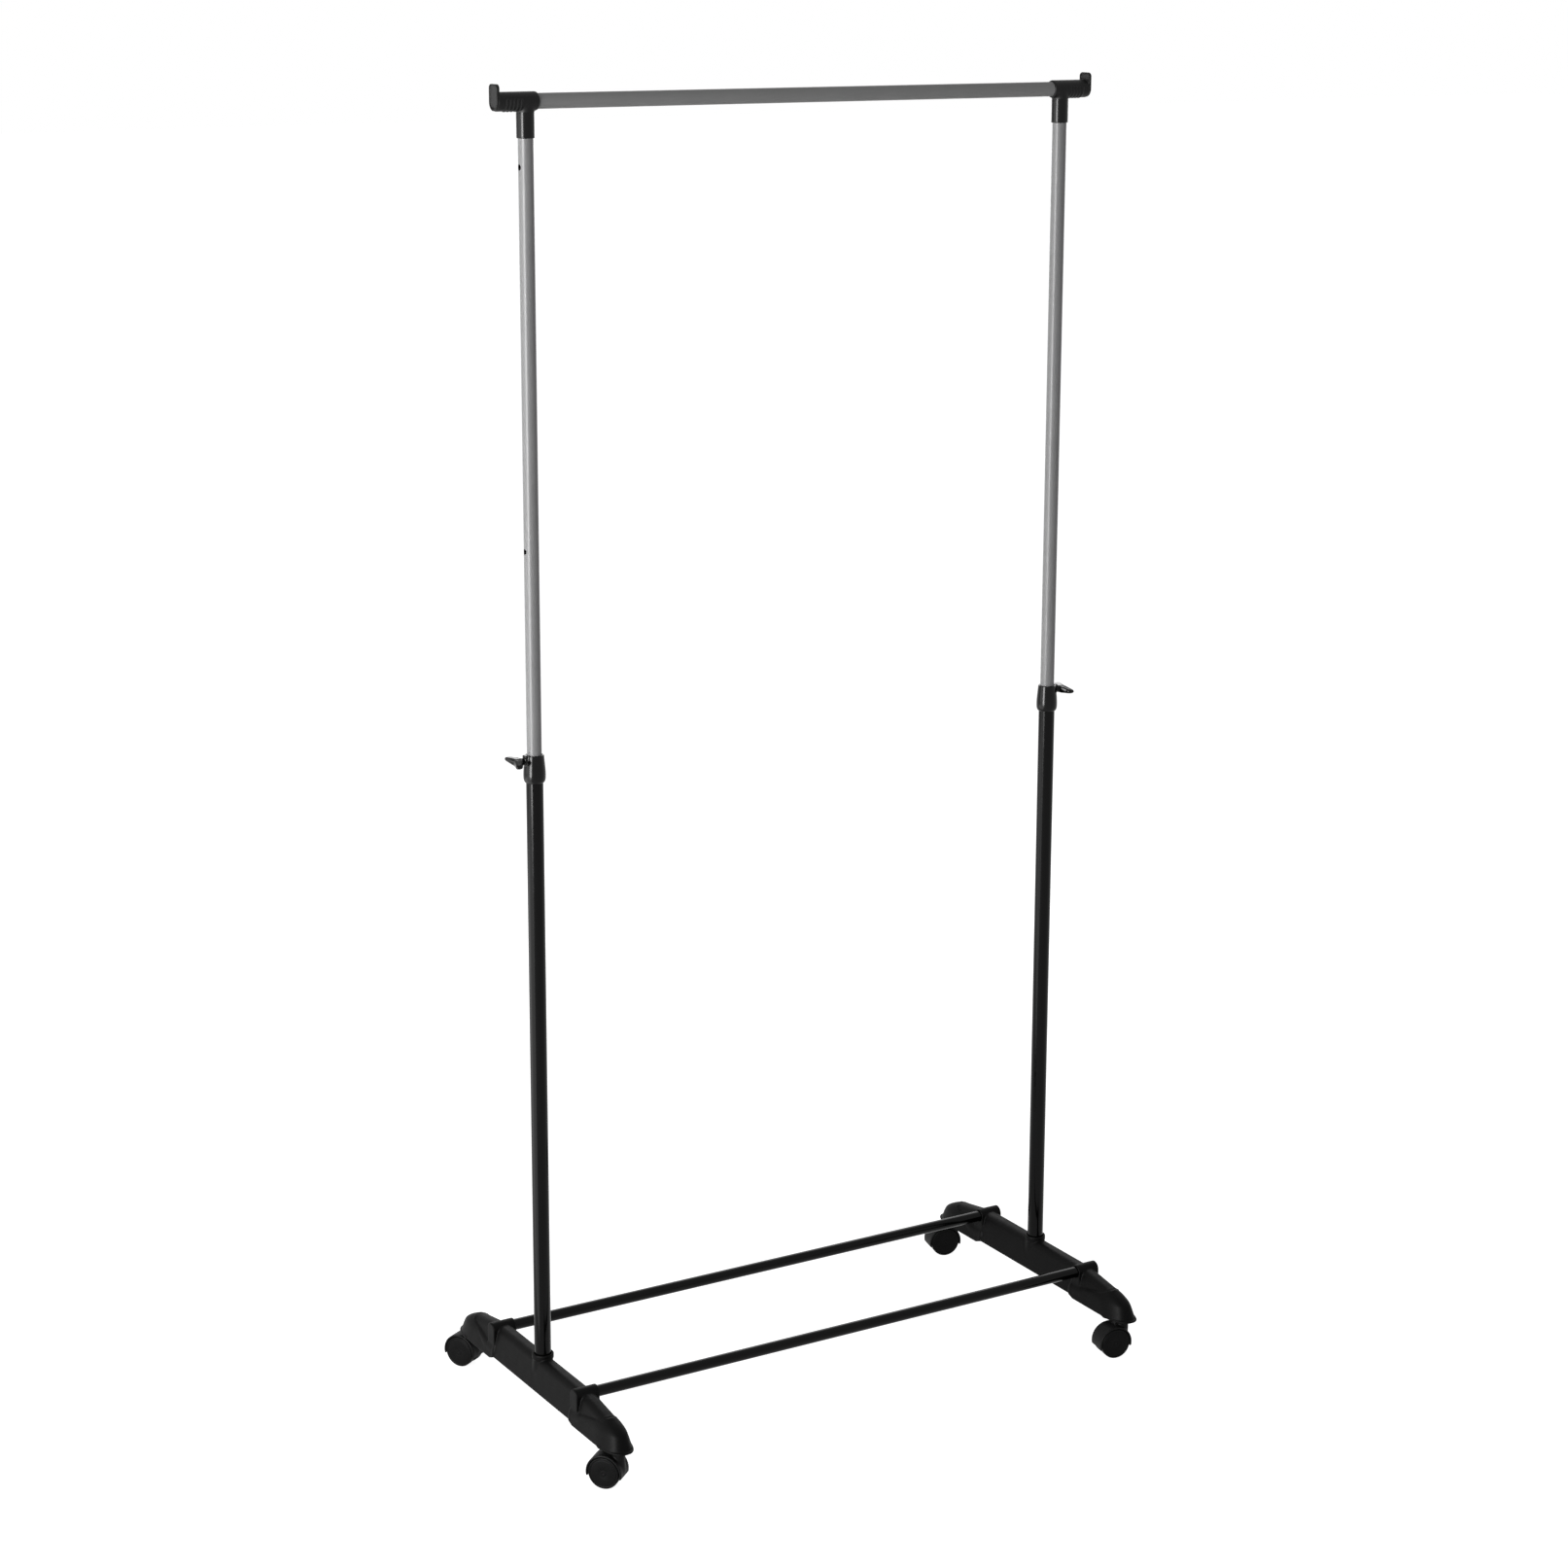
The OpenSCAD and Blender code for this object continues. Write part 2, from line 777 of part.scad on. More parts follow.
// Steel sleeves in the feet, in which the caster stems turn
module stem_sleeves() {
  color([0.55, 0.55, 0.57])
    for (p = caster_places)
      translate([p[0] * pole_spacing / 2, p[1] * stem_y, foot_clear])
        difference() {
          cylinder(r = sleeve_r, h = sleeve_len);
          translate([0, 0, -cut])
            cylinder(r = stem_d / 2 + fit, h = sleeve_len + 2 * cut);
        }
}

// Puts its children at a caster with +X along its trail
module at_caster(i) {
  p = caster_places[i];
  translate([p[0] * pole_spacing / 2, p[1] * stem_y, 0])
    rotate([0, 0, p[2]])
      children();
}

// Cylinder along the axle, from y0 to y1
module axle_cylinder(r, y0, y1) {
  translate([trail, y1, wheel_r])
    rotate([90, 0, 0])
      cylinder(r = r, h = y1 - y0);
}

module caster_hood(i) {
  color([0.12, 0.12, 0.12])
    at_caster(i)
      difference() {
        union() {
          intersection() {
            translate([trail, 0, wheel_r])
              rotate([90, 0, 0])
                rotate_extrude()
                  polygon([
                    [0, -hood_half], [hood_r - hood_bevel, -hood_half], [hood_r, hood_bevel - hood_half],
                    [hood_r, hood_half - hood_bevel], [hood_r - hood_bevel, hood_half], [0, hood_half]
                  ]);
            translate([trail - 2 * hood_r, -2 * hood_half, wheel_r - hood_drop])
              cube([4 * hood_r, 4 * hood_half, 2 * hood_r]);
          }
          axle_cylinder(hub_r + 3, -web_t / 2, web_t / 2);
          translate([0, 0, wheel_r])
            cylinder(r = swivel_boss_r, h = swivel_boss_top - wheel_r);
        }
        for (y = [[-hood_half - cut, -web_t / 2], [web_t / 2, hood_half + cut]])
          axle_cylinder(hood_bore_r, y[0], y[1]);
        axle_cylinder(axle_r + fit, -web_t, web_t);
        translate([0, 0, stem_root])
          cylinder(r = stem_d / 2 + fit, h = swivel_boss_top);
      }
}

module caster_stem(i) {
  color([0.62, 0.62, 0.64])
    at_caster(i) {
      translate([0, 0, stem_root])
        cylinder(r = stem_d / 2, h = foot_clear + stem_len - stem_root);
      translate([0, 0, swivel_boss_top])
        cylinder(r = stem_flange_r, h = stem_flange_t);
    }
}

module caster_axle(i) {
  color([0.62, 0.62, 0.64])
    at_caster(i)
      axle_cylinder(axle_r, -axle_end, axle_end);
}

// One wheel: a closed outer disc, a tread ring and a hub that runs on the axle
module caster_wheel(i, half) {
  color([0.09, 0.09, 0.09])
    at_caster(i)
      translate([trail, 0, wheel_r])
        rotate([half > 0 ? -90 : 90, 0, 0])
          translate([0, 0, wheel_in])
            difference() {
              rotate_extrude()
                polygon([
                  [0, 0], [hub_r, 0], [hub_r, wheel_w - disc_t], [wheel_r - tread_t, wheel_w - disc_t],
                  [wheel_r - tread_t, 0], [wheel_r - tyre_round, 0], [wheel_r, tyre_round],
                  [wheel_r, wheel_w - tyre_round], [wheel_r - tyre_round, wheel_w], [0, wheel_w]
                ]);
              translate([0, 0, -cut])
                cylinder(r = axle_r + fit, h = axle_end - wheel_in + cut + run_gap);
            }
}

top_rail();
tee(LEFT);  // tee_left
tee(RIGHT);  // tee_right
upper_pole(LEFT);  // upper_pole_left
upper_pole(RIGHT);  // upper_pole_right
glide_bush(LEFT);  // glide_bush_left
glide_bush(RIGHT);  // glide_bush_right
height_clamp(LEFT);  // height_clamp_left
height_clamp(RIGHT);  // height_clamp_right
clamp_inserts();
clamp_stud(LEFT);  // clamp_stud_left
clamp_stud(RIGHT);  // clamp_stud_right
wing_knob(LEFT);  // wing_knob_left
wing_knob(RIGHT);  // wing_knob_right
lower_pole(LEFT);  // lower_pole_left
lower_pole(RIGHT);  // lower_pole_right
pole_plugs();
pole_bolts();
pole_washers();
foot(LEFT);  // foot_left
foot(RIGHT);  // foot_right
base_rail(FRONT);  // base_rail_front
base_rail(REAR);  // base_rail_rear
rail_screws();
stem_sleeves();
caster_hood(0);  // caster_hood_front_left
caster_hood(1);  // caster_hood_rear_left
caster_hood(2);  // caster_hood_front_right
caster_hood(3);  // caster_hood_rear_right
caster_stem(0);  // caster_stem_front_left
caster_stem(1);  // caster_stem_rear_left
caster_stem(2);  // caster_stem_front_right
caster_stem(3);  // caster_stem_rear_right
caster_axle(0);  // caster_axle_front_left
caster_axle(1);  // caster_axle_rear_left
caster_axle(2);  // caster_axle_front_right
caster_axle(3);  // caster_axle_rear_right
caster_wheel(0, 1);  // wheel_front_left_a
caster_wheel(0, -1);  // wheel_front_left_b
caster_wheel(1, 1);  // wheel_rear_left_a
caster_wheel(1, -1);  // wheel_rear_left_b
caster_wheel(2, 1);  // wheel_front_right_a
caster_wheel(2, -1);  // wheel_front_right_b
caster_wheel(3, 1);  // wheel_rear_right_a
caster_wheel(3, -1);  // wheel_rear_right_b
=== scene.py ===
"""Looks of the garment rail: moulded pieces, paints, plastics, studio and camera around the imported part."""
import json
import math

import bmesh
import bpy
import numpy as np
import openvdb
from mathutils import Matrix


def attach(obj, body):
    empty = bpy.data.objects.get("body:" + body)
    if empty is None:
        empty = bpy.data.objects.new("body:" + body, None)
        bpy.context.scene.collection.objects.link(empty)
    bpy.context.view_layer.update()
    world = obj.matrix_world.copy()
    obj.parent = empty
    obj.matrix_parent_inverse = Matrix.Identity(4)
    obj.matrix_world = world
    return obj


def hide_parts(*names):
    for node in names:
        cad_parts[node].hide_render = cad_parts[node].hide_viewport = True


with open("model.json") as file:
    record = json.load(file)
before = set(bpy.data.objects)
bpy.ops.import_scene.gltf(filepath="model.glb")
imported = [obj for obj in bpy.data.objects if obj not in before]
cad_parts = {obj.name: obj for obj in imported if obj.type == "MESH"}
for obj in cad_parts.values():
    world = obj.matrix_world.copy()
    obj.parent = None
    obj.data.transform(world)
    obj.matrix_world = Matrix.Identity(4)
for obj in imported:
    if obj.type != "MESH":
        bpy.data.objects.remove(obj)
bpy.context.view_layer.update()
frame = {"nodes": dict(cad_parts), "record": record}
nodes = frame["nodes"]

MM = 0.001

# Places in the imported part, in millimetres: X along the rail, Y to the rear, Z up
POLE_X = 395.0
RAIL_Z = 1718.0
CLAMP_TOP = 909.0
SCREW_Z = 901.5
STEM_Y = 210.0
TRAIL = 16.0
WHEEL_R = 21.0
TUBE_R = 9.5
POLE_R = 11.0
RAIL_R = 7.5
SIDES = {"left": -1, "right": 1}

# Casters: side, front or rear, and heading of the trail in degrees
CASTERS = {
    "front_left": (-1, -1, 130.0),
    "rear_left": (-1, 1, 120.0),
    "front_right": (1, -1, 171.0),
    "rear_right": (1, 1, 166.0),
}

# Bores for studs and axles, and for inserts and stems: BORE_END rounds their ends, BEYOND is past any piece
SCREW_BORE = 2.55
STEM_BORE = 4.05
BORE_END = 0.1
BEYOND = 150.0


# Fields: negative inside a solid, in millimetres

GRID_MARGIN = 2
LEAST_GRADIENT = 0.3


def smax(a, b, r):
    """Intersection with a rounded edge of about radius r."""
    h = np.clip(0.5 + 0.5 * (a - b) / (2 * r), 0, 1)
    return b + (a - b) * h + 2 * r * h * (1 - h) * 0.5


def smin(a, b, r):
    """Union with a fillet of about radius r."""
    return -smax(-a, -b, r)


def carve(a, b, r=0.4):
    """Solid a with b taken out."""
    return smax(a, -b, r)


def cylinder(u, v, w, radius, lo, hi, r):
    """Cylinder along w with both edges rounded by r."""
    d = np.hypot(u, v) - radius
    e = np.maximum(lo - w, w - hi)
    q, s = d + r, e + r
    return np.minimum(np.maximum(q, s), 0) + np.hypot(np.maximum(q, 0), np.maximum(s, 0)) - r


def bore(u, v, w, radius, lo, hi):
    """Cylinder along w to be taken out."""
    return cylinder(u, v, w, radius, lo, hi, BORE_END)


def block(u, v, w, size, r):
    """Box around the origin with half sizes and rounded edges."""
    q = [np.abs(c) - (s - r) for c, s in zip((u, v, w), size)]
    out = np.sqrt(sum(np.maximum(c, 0) ** 2 for c in q))
    return np.minimum(np.maximum(np.maximum(q[0], q[1]), q[2]), 0) + out - r


def curve(x, knots):
    """Smooth line through knots, a list of (x, y) in order."""
    kx = np.array([k[0] for k in knots], float)
    ky = np.array([k[1] for k in knots], float)
    step = np.diff(kx)
    rise = np.diff(ky) / step
    slope = np.concatenate([[rise[0]], (rise[1:] + rise[:-1]) / 2, [rise[-1]]])
    x = np.clip(np.asarray(x, float), kx[0], kx[-1])
    i = np.clip(np.searchsorted(kx, x, side="right") - 1, 0, len(step) - 1)
    t = (x - kx[i]) / step[i]
    a, b = t * t * (3 - 2 * t), t * (1 - t)
    return (ky[i] * (1 - a) + ky[i + 1] * a
            + b * step[i] * ((1 - t) * slope[i] - t * slope[i + 1]))


def distance(f, voxel):
    """Field scaled to read about as a distance near its surface."""
    gx, gy, gz = np.gradient(f, voxel)
    return f / np.maximum(np.sqrt(gx * gx + gy * gy + gz * gz), LEAST_GRADIENT)


def grid(lo, hi, voxel):
    """Coordinate arrays that span a box and a margin around it."""
    below, above = GRID_MARGIN * voxel, (GRID_MARGIN + 0.5) * voxel
    axes = [np.arange(a - below, b + above, voxel) for a, b in zip(lo, hi)]
    return np.meshgrid(*axes, indexing="ij", sparse=True)


def between(values, at):
    """Values of a grid at points between its nodes."""
    base = np.clip(np.floor(at).astype(int), 0, np.array(values.shape) - 2)
    t = at - base
    total = 0
    for corner in np.ndindex(2, 2, 2):
        weight = np.prod(np.where(corner, t, 1 - t), axis=1)
        total = total + weight * values[tuple((base + corner).T)]
    return total


def skin(field, lo, voxel):
    """Closed surface of a field: points in metres, faces and the field's own normals at the points."""
    outside = float(2 * GRID_MARGIN * voxel)
    volume = openvdb.FloatGrid(outside)
    volume.copyFromArray(np.ascontiguousarray(field, dtype=np.float32))
    points, quads = volume.convertToQuads(0.0)
    normals = np.stack([between(g, points) for g in np.gradient(field)], axis=1)
    normals /= np.linalg.norm(normals, axis=1, keepdims=True)
    return (points * voxel + (np.array(lo) - GRID_MARGIN * voxel)) * MM, quads, normals


# Meshes and pieces

def mesh_of(name, shape, sign=1):
    """Mesh of a skin, with X reversed where sign is -1."""
    points, quads, normals = shape
    turn = np.array([sign, 1, 1])
    mesh = bpy.data.meshes.new(name)
    mesh.from_pydata((points * turn).tolist(), [], quads[:, ::sign].tolist())
    mesh.shade_smooth()
    mesh.normals_split_custom_set_from_vertices((normals * turn).tolist())
    mesh.update()
    return mesh


def lathe(name, profile, turns=96):
    """Mesh of a closed profile of (radius, height) in millimetres, turned about Z."""
    ring = np.linspace(0, 2 * math.pi, turns, endpoint=False)
    count = len(profile)
    points = [(r * math.cos(a) * MM, r * math.sin(a) * MM, h * MM) for a in ring for r, h in profile]
    faces = []
    for k in range(turns):
        a, b = k * count, (k + 1) % turns * count
        for i in range(count):
            j = (i + 1) % count
            faces.append((a + i, b + i, b + j, a + j))
    mesh = bpy.data.meshes.new(name)
    mesh.from_pydata(points, [], faces)
    mesh.validate()
    mesh.shade_smooth()
    mesh.update()
    return mesh


def piece(name, mesh, body, slot, replaced, place):
    """New piece of the object in place of CAD nodes."""
    obj = bpy.data.objects.new(name, mesh)
    bpy.context.scene.collection.objects.link(obj)
    obj.matrix_world = place
    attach(obj, body)
    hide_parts(*replaced)
    obj.data.materials.clear()
    obj.data.materials.append(MATERIALS[slot])


def moved(x, y, z):
    """Move in millimetres."""
    return Matrix.Translation((x * MM, y * MM, z * MM))


def turned(degrees, axis):
    """Turn about an axis."""
    return Matrix.Rotation(math.radians(degrees), 4, axis)


# Materials: noise scales in features per metre

COLOUR_SCALE, COLOUR_DETAIL = 14.0, 4.0
ROUGH_SCALE, ROUGH_DETAIL = 70.0, 3.0
GRAIN_DETAIL = 2.0
RAMP_ENDS = (0.3, 0.7)


def grey(level, blue=1.0):
    """Grey, with a tint where blue isn't 1."""
    return (level, level, level * blue)


def ramp(tree, fac, low, high):
    """Colour that runs from low to high with a noise."""
    node = tree.nodes.new("ShaderNodeValToRGB")
    tree.links.new(fac, node.inputs["Fac"])
    for element, at, colour in zip(node.color_ramp.elements, RAMP_ENDS, (low, high)):
        element.position = at
        element.color = (*colour, 1)
    return node.outputs["Color"]


def noise(tree, scale, detail, stretch):
    """Noise in the object's own metres."""
    place = tree.nodes.new("ShaderNodeTexCoord")
    mapping = tree.nodes.new("ShaderNodeMapping")
    mapping.inputs["Scale"].default_value = stretch
    tex = tree.nodes.new("ShaderNodeTexNoise")
    tex.inputs["Scale"].default_value = scale
    tex.inputs["Detail"].default_value = detail
    tree.links.new(place.outputs["Object"], mapping.inputs["Vector"])
    tree.links.new(mapping.outputs["Vector"], tex.inputs["Vector"])
    return tex.outputs["Fac"]


def surface(name, low, high, rough, grain, bump, specular=0.5, metallic=0.0, stretch=(1, 1, 1)):
    """Paint, plastic or metal: patchy colour from low to high, rough = (low, high), fine grain as bump.

    grain is in features per metre, and bump is the height of that grain in metres."""
    material = bpy.data.materials.new(name)
    material.use_nodes = True
    tree = material.node_tree
    shader = tree.nodes["Principled BSDF"]
    shader.inputs["Metallic"].default_value = metallic
    shader.inputs["Specular IOR Level"].default_value = specular
    colour = ramp(tree, noise(tree, COLOUR_SCALE, COLOUR_DETAIL, stretch), low, high)
    tree.links.new(colour, shader.inputs["Base Color"])
    roughness = ramp(tree, noise(tree, ROUGH_SCALE, ROUGH_DETAIL, stretch), *(grey(r) for r in rough))
    tree.links.new(roughness, shader.inputs["Roughness"])
    height = tree.nodes.new("ShaderNodeBump")
    height.inputs["Strength"].default_value = 1.0
    height.inputs["Distance"].default_value = bump
    tree.links.new(noise(tree, grain, GRAIN_DETAIL, stretch), height.inputs["Height"])
    tree.links.new(height.outputs["Normal"], shader.inputs["Normal"])
    return material


def math_node(tree, operation, *inputs):
    """Math node whose inputs are sockets or numbers."""
    node = tree.nodes.new("ShaderNodeMath")
    node.operation = operation
    for k, value in enumerate(inputs):
        if isinstance(value, float):
            node.inputs[k].default_value = value
        else:
            tree.links.new(value, node.inputs[k])
    return node.outputs[0]


def own_place(tree):
    """|x|, y and z in the object's own metres."""
    place = tree.nodes.new("ShaderNodeTexCoord")
    split = tree.nodes.new("ShaderNodeSeparateXYZ")
    tree.links.new(place.outputs["Object"], split.inputs[0])
    return math_node(tree, "ABSOLUTE", split.outputs["X"]), split.outputs["Y"], split.outputs["Z"]


def finish_inside(tree, mask, level, rough):
    """Another grey and roughness where the mask is 1."""
    shader = tree.nodes["Principled BSDF"]
    for socket, value in (("Base Color", level), ("Roughness", rough)):
        mix = tree.nodes.new("ShaderNodeMixRGB")
        tree.links.new(mask, mix.inputs["Fac"])
        tree.links.new(shader.inputs[socket].links[0].from_socket, mix.inputs["Color1"])
        mix.inputs["Color2"].default_value = (*grey(value), 1)
        tree.links.new(mix.outputs["Color"], shader.inputs[socket])


def finish_box(material, level, rough, spans):
    """Another finish inside a box: spans holds its middle and half size along |x|, y and z."""
    tree = material.node_tree
    sides = [math_node(tree, "COMPARE", axis, *span) for axis, span in zip(own_place(tree), spans)]
    mask = math_node(tree, "MULTIPLY", math_node(tree, "MULTIPLY", *sides[:2]), sides[2])
    finish_inside(tree, mask, level, rough)


def paint_bore_shade(material, level, rough, radius):
    """Painted shade: a darker grey and another roughness inside the bore of a tube about its own Z axis."""
    tree = material.node_tree
    x, y, _ = own_place(tree)
    squares = math_node(tree, "MULTIPLY_ADD", x, x, math_node(tree, "MULTIPLY", y, y))
    finish_inside(tree, math_node(tree, "LESS_THAN", squares, radius * radius), level, rough)


# Slots of the record: colours, roughness, grain, bump, specular level, metallic and stretch of the grain
LOOKS = {
    "rail_grey": (grey(0.365), grey(0.395), (0.52, 0.62), 900.0, 2e-5, 0.1),
    "pole_silver": (grey(0.33, 1.01), grey(0.36, 1.01), (0.30, 0.36), 1100.0, 4e-6, 0.2),
    "tube_black": (grey(0.0015), grey(0.0025), (0.10, 0.15), 500.0, 2e-6, 0.1),
    "tee_black": (grey(0.003), grey(0.005), (0.17, 0.22), 700.0, 2e-6, 0.16),
    "clamp_black": (grey(0.002), grey(0.004), (0.13, 0.18), 700.0, 2e-6, 0.15),
    "bush_black": (grey(0.010), grey(0.016), (0.45, 0.6), 1500.0, 3e-5, 0.3),
    "plug_grey": (grey(0.08), grey(0.11), (0.45, 0.6), 1500.0, 3e-5, 0.3),
    "foot_charcoal": (grey(0.0035), grey(0.005), (0.44, 0.52), 1800.0, 2e-5, 0.042),
    "caster_black": (grey(0.006), grey(0.008), (0.45, 0.56), 1800.0, 3e-5, 0.07),
    "wheel_black": (grey(0.004), grey(0.005), (0.42, 0.52), 1500.0, 3e-5, 0.05),
    "steel": (grey(0.48, 1.02), grey(0.60, 1.02), (0.24, 0.36), 900.0, 2e-5, 0.5, 1.0, (1, 1, 0.1)),
    "insert_brass": ((0.62, 0.43, 0.16), (0.72, 0.52, 0.22), (0.25, 0.36), 900.0, 2e-5, 0.5, 1.0),
}

# Finishes of a part of a piece, and painted light and shade: grey, roughness and place in metres
BARREL_FINISH = (0.004, 0.5, [(0.0, 0.05), (0.0, 0.02), (0.0, 0.0127)])
TONGUE_FINISH = (0.005, 0.5, [(0.041, 0.0025), (0.0, 0.02), (0.005, 0.02)])
# Tongue recess floors: the matte roughness is the finish, the lighter grey is painted light where the floors
# face the lamps at the left
RECESS_MATTE_AND_PAINTED_LIGHT = (0.036, 0.6, [(0.0411, 0.0011), (0.0, 0.0088), (0.00615, 0.01265)])
# Bore of the upper pole: a near-black grey that is painted shade inside the tube, seen through the index
# holes, with a matte roughness
POLE_BORE_PAINTED_SHADE = (0.008, 0.6, 0.0094)


def make_materials():
    """One material per slot of the record."""
    made = {slot: surface(slot, *look) for slot, look in LOOKS.items()}
    # Rougher barrel and tongue, and painted light on the tongue's recess floors
    for finish in (BARREL_FINISH, TONGUE_FINISH, RECESS_MATTE_AND_PAINTED_LIGHT):
        finish_box(made["tee_black"], *finish)
    # Painted shade inside the upper pole's bore
    paint_bore_shade(made["pole_silver"], *POLE_BORE_PAINTED_SHADE)
    return made


# Foot: x outwards from the pole, y along the foot, z up

FOOT_VOXEL = 1.2
FOOT_BOX = ((-24.0, -233.0, 48.0), (24.0, 233.0, 103.0))
SHELL, SHELL_ROUND = 3.0, 0.6
BOTTOM_ROUND = 0.7
BELLY_RAMP = (109.0, 120.0)

# Beam: a ridge that falls towards the pods
BEAM_BOTTOM = 55.0
BEAM_HALF = 19.5
RIDGE_FLAT = 2.0
RIDGE_Z = 85.6
RIDGE_R = 10.0
RIDGE_FALL = math.tan(math.radians(9.1))
FALL_START, FALL_SOFT = 120.7, 6.0
RIDGE_END = 189.4
BEAM_END_ROUND = 4.0

# Pod: half width and nose by height, upper edge along the foot, and how that edge rounds and steepens
POD_BOTTOM = 51.0
POD_START, POD_START_ROUND = 107.0, 4.0
POD_HALF = [(49.0, 21.6), (56.0, 20.3), (66.0, 18.4), (72.0, 17.0), (76.0, 15.3), (80.0, 12.9), (83.0, 10.2),
            (85.0, 7.5), (87.0, 1.0), (90.0, -20.0)]
NOSE_TIP = [(49.0, 226.0), (54.0, 225.6), (60.0, 223.5), (66.0, 221.0), (72.0, 217.0), (78.0, 207.4),
            (84.0, 193.3), (91.0, 178.0)]
NOSE_START, NOSE_LEAN, NOSE_POWER = 187.0, 0.65, 2.55
POD_EDGE = [(100.0, 72.4), (130.0, 73.2), (152.0, 75.8), (172.0, 78.5), (182.0, 81.0), (188.0, 84.0),
            (193.0, 90.0), (200.0, 100.0)]
EDGE_FADE, EDGE_R = (138.0, 166.0), (7.0, 0.9)
EDGE_BEND, EDGE_SCALE = 180.0, (0.99, 0.75)
LEAST_HALF, LEAST_REACH = 0.5, 0.05
SEAM_FILLET = 0.7

# Bead along the pod's edge, and lip under the nose
BEAD_FADE, BEAD_R, BEAD_FILLET = (156.0, 176.0), (-2.0, 0.9), 0.5
LIP_START, LIP_TIP, LIP_HALF, LIP_POWER = 185.0, 231.4, 21.1, 2.5
LIP_Z = (51.0, 53.4)
LIP_ROUND, LIP_RUNOUT, LIP_FILLET = 0.8, 8.0, 1.4

# Rail bosses, pole collar and caster sockets
BOSS_Y = 120.0
BOSS_Z = 90.0
BOSS_R = 9.85
BOSS_X = (-16.0, 17.5)
BOSS_ROUND, BOSS_FILLET = 0.9, 1.2
BOSS_CAP = 2.3
COLUMN_R, COLUMN_DROP = 13.2, 2.0
COLUMN_ROUND, COLUMN_FILLET = 0.8, 1.6
COLLAR_R = 14.4
COLLAR_Z = (93.2, 101.0)
COLLAR_ROUND, COLLAR_FILLET = 1.1, 0.35
COLLAR_FLARE = 1.2
SEAT_Z, SEAT_PLAY = 63.0, 0.15
SOCKET_R, SOCKET_TOP = 8.5, 80.0
SOCKET_ROUND, SOCKET_FILLET = 0.6, 0.8
SLEEVE_R, SLEEVE_TOP = 5.1, 68.0


def beam_field(x, fall, z):
    """Rounded ridge over two leaning sides, without its underside."""
    corner = (BEAM_HALF - RIDGE_FLAT, BEAM_BOTTOM - RIDGE_Z)
    lean = math.atan2(corner[1], corner[0]) + math.acos(RIDGE_R / math.hypot(*corner))
    nx, nz = math.cos(lean), math.sin(lean)
    qx, qz = np.abs(x) - RIDGE_FLAT, z + fall - RIDGE_Z
    side = qx * nx + qz * nz - RIDGE_R
    top = np.hypot(np.maximum(qx, 0), np.maximum(qz, 0)) - RIDGE_R
    return np.where(qz * nx - qx * nz > 0, top, side)


def plan_field(x, y, half, start, tip, power):
    """Straight sides that close in a rounded nose, seen from above."""
    ahead = np.maximum(y - start, 0)
    across, along = np.abs(x), ahead / (tip - start)
    safe = np.maximum(half, LEAST_HALF)
    reach = ((across / safe) ** power + along ** power) ** (1 / power)
    nose = np.hypot(across, ahead) * (1 - 1 / np.maximum(reach, LEAST_REACH))
    return np.where(y > start, nose, across - half) + np.maximum(LEAST_HALF - half, 0)


def pod_field(x, y, z):
    """Boot around the end of the beam, without its underside."""
    half, tip = curve(z, POD_HALF), curve(z, NOSE_TIP)
    start = NOSE_START - NOSE_LEAN * (z - POD_BOTTOM)
    wall = distance(plan_field(x, y, half, start, tip, NOSE_POWER), FOOT_VOXEL)
    edge = curve(y, POD_EDGE)
    cut = (z - edge) * np.where(y < EDGE_BEND, *EDGE_SCALE)
    soft = np.interp(y, EDGE_FADE, EDGE_R)
    return smax(smax(wall, cut + 0 * x, soft), POD_START - y + 0 * x + 0 * z, POD_START_ROUND)


def foot_mass(x, far, z):
    """Beam, pods and bead, filled and without their underside."""
    fall = RIDGE_FALL * FALL_SOFT * np.logaddexp(0, (far - FALL_START) / FALL_SOFT)
    beam = beam_field(x, fall, z)
    beam = smax(beam, far - RIDGE_END + 0 * x + 0 * z, BEAM_END_ROUND)
    pod = pod_field(x, far, z)
    bead = np.hypot(beam, z - curve(far, POD_EDGE)) - np.interp(far, BEAD_FADE, BEAD_R)
    return smin(smin(beam, pod, SEAM_FILLET), bead, BEAD_FILLET)


def lip_field(x, far, z):
    """Thin lip around the lower edge of the nose."""
    lip = distance(plan_field(x, far, LIP_HALF + 0 * z, LIP_START, LIP_TIP, LIP_POWER), FOOT_VOXEL)
    lip = smax(lip, np.maximum(LIP_Z[0] - z, z - LIP_Z[1]), LIP_ROUND)
    return smax(lip, LIP_START - far + 0 * x + 0 * z, LIP_RUNOUT)


def boss_field(x, y, z):
    """Rail boss: half round on top of upright sides."""
    outline = np.where(z > BOSS_Z, np.hypot(y, z - BOSS_Z), np.abs(y)) - BOSS_R
    boss = smax(outline, np.maximum(BOSS_X[0] - x, x - BOSS_X[1]), BOSS_ROUND)
    return smax(boss, BEAM_BOTTOM - z + 0 * boss, BOSS_ROUND)


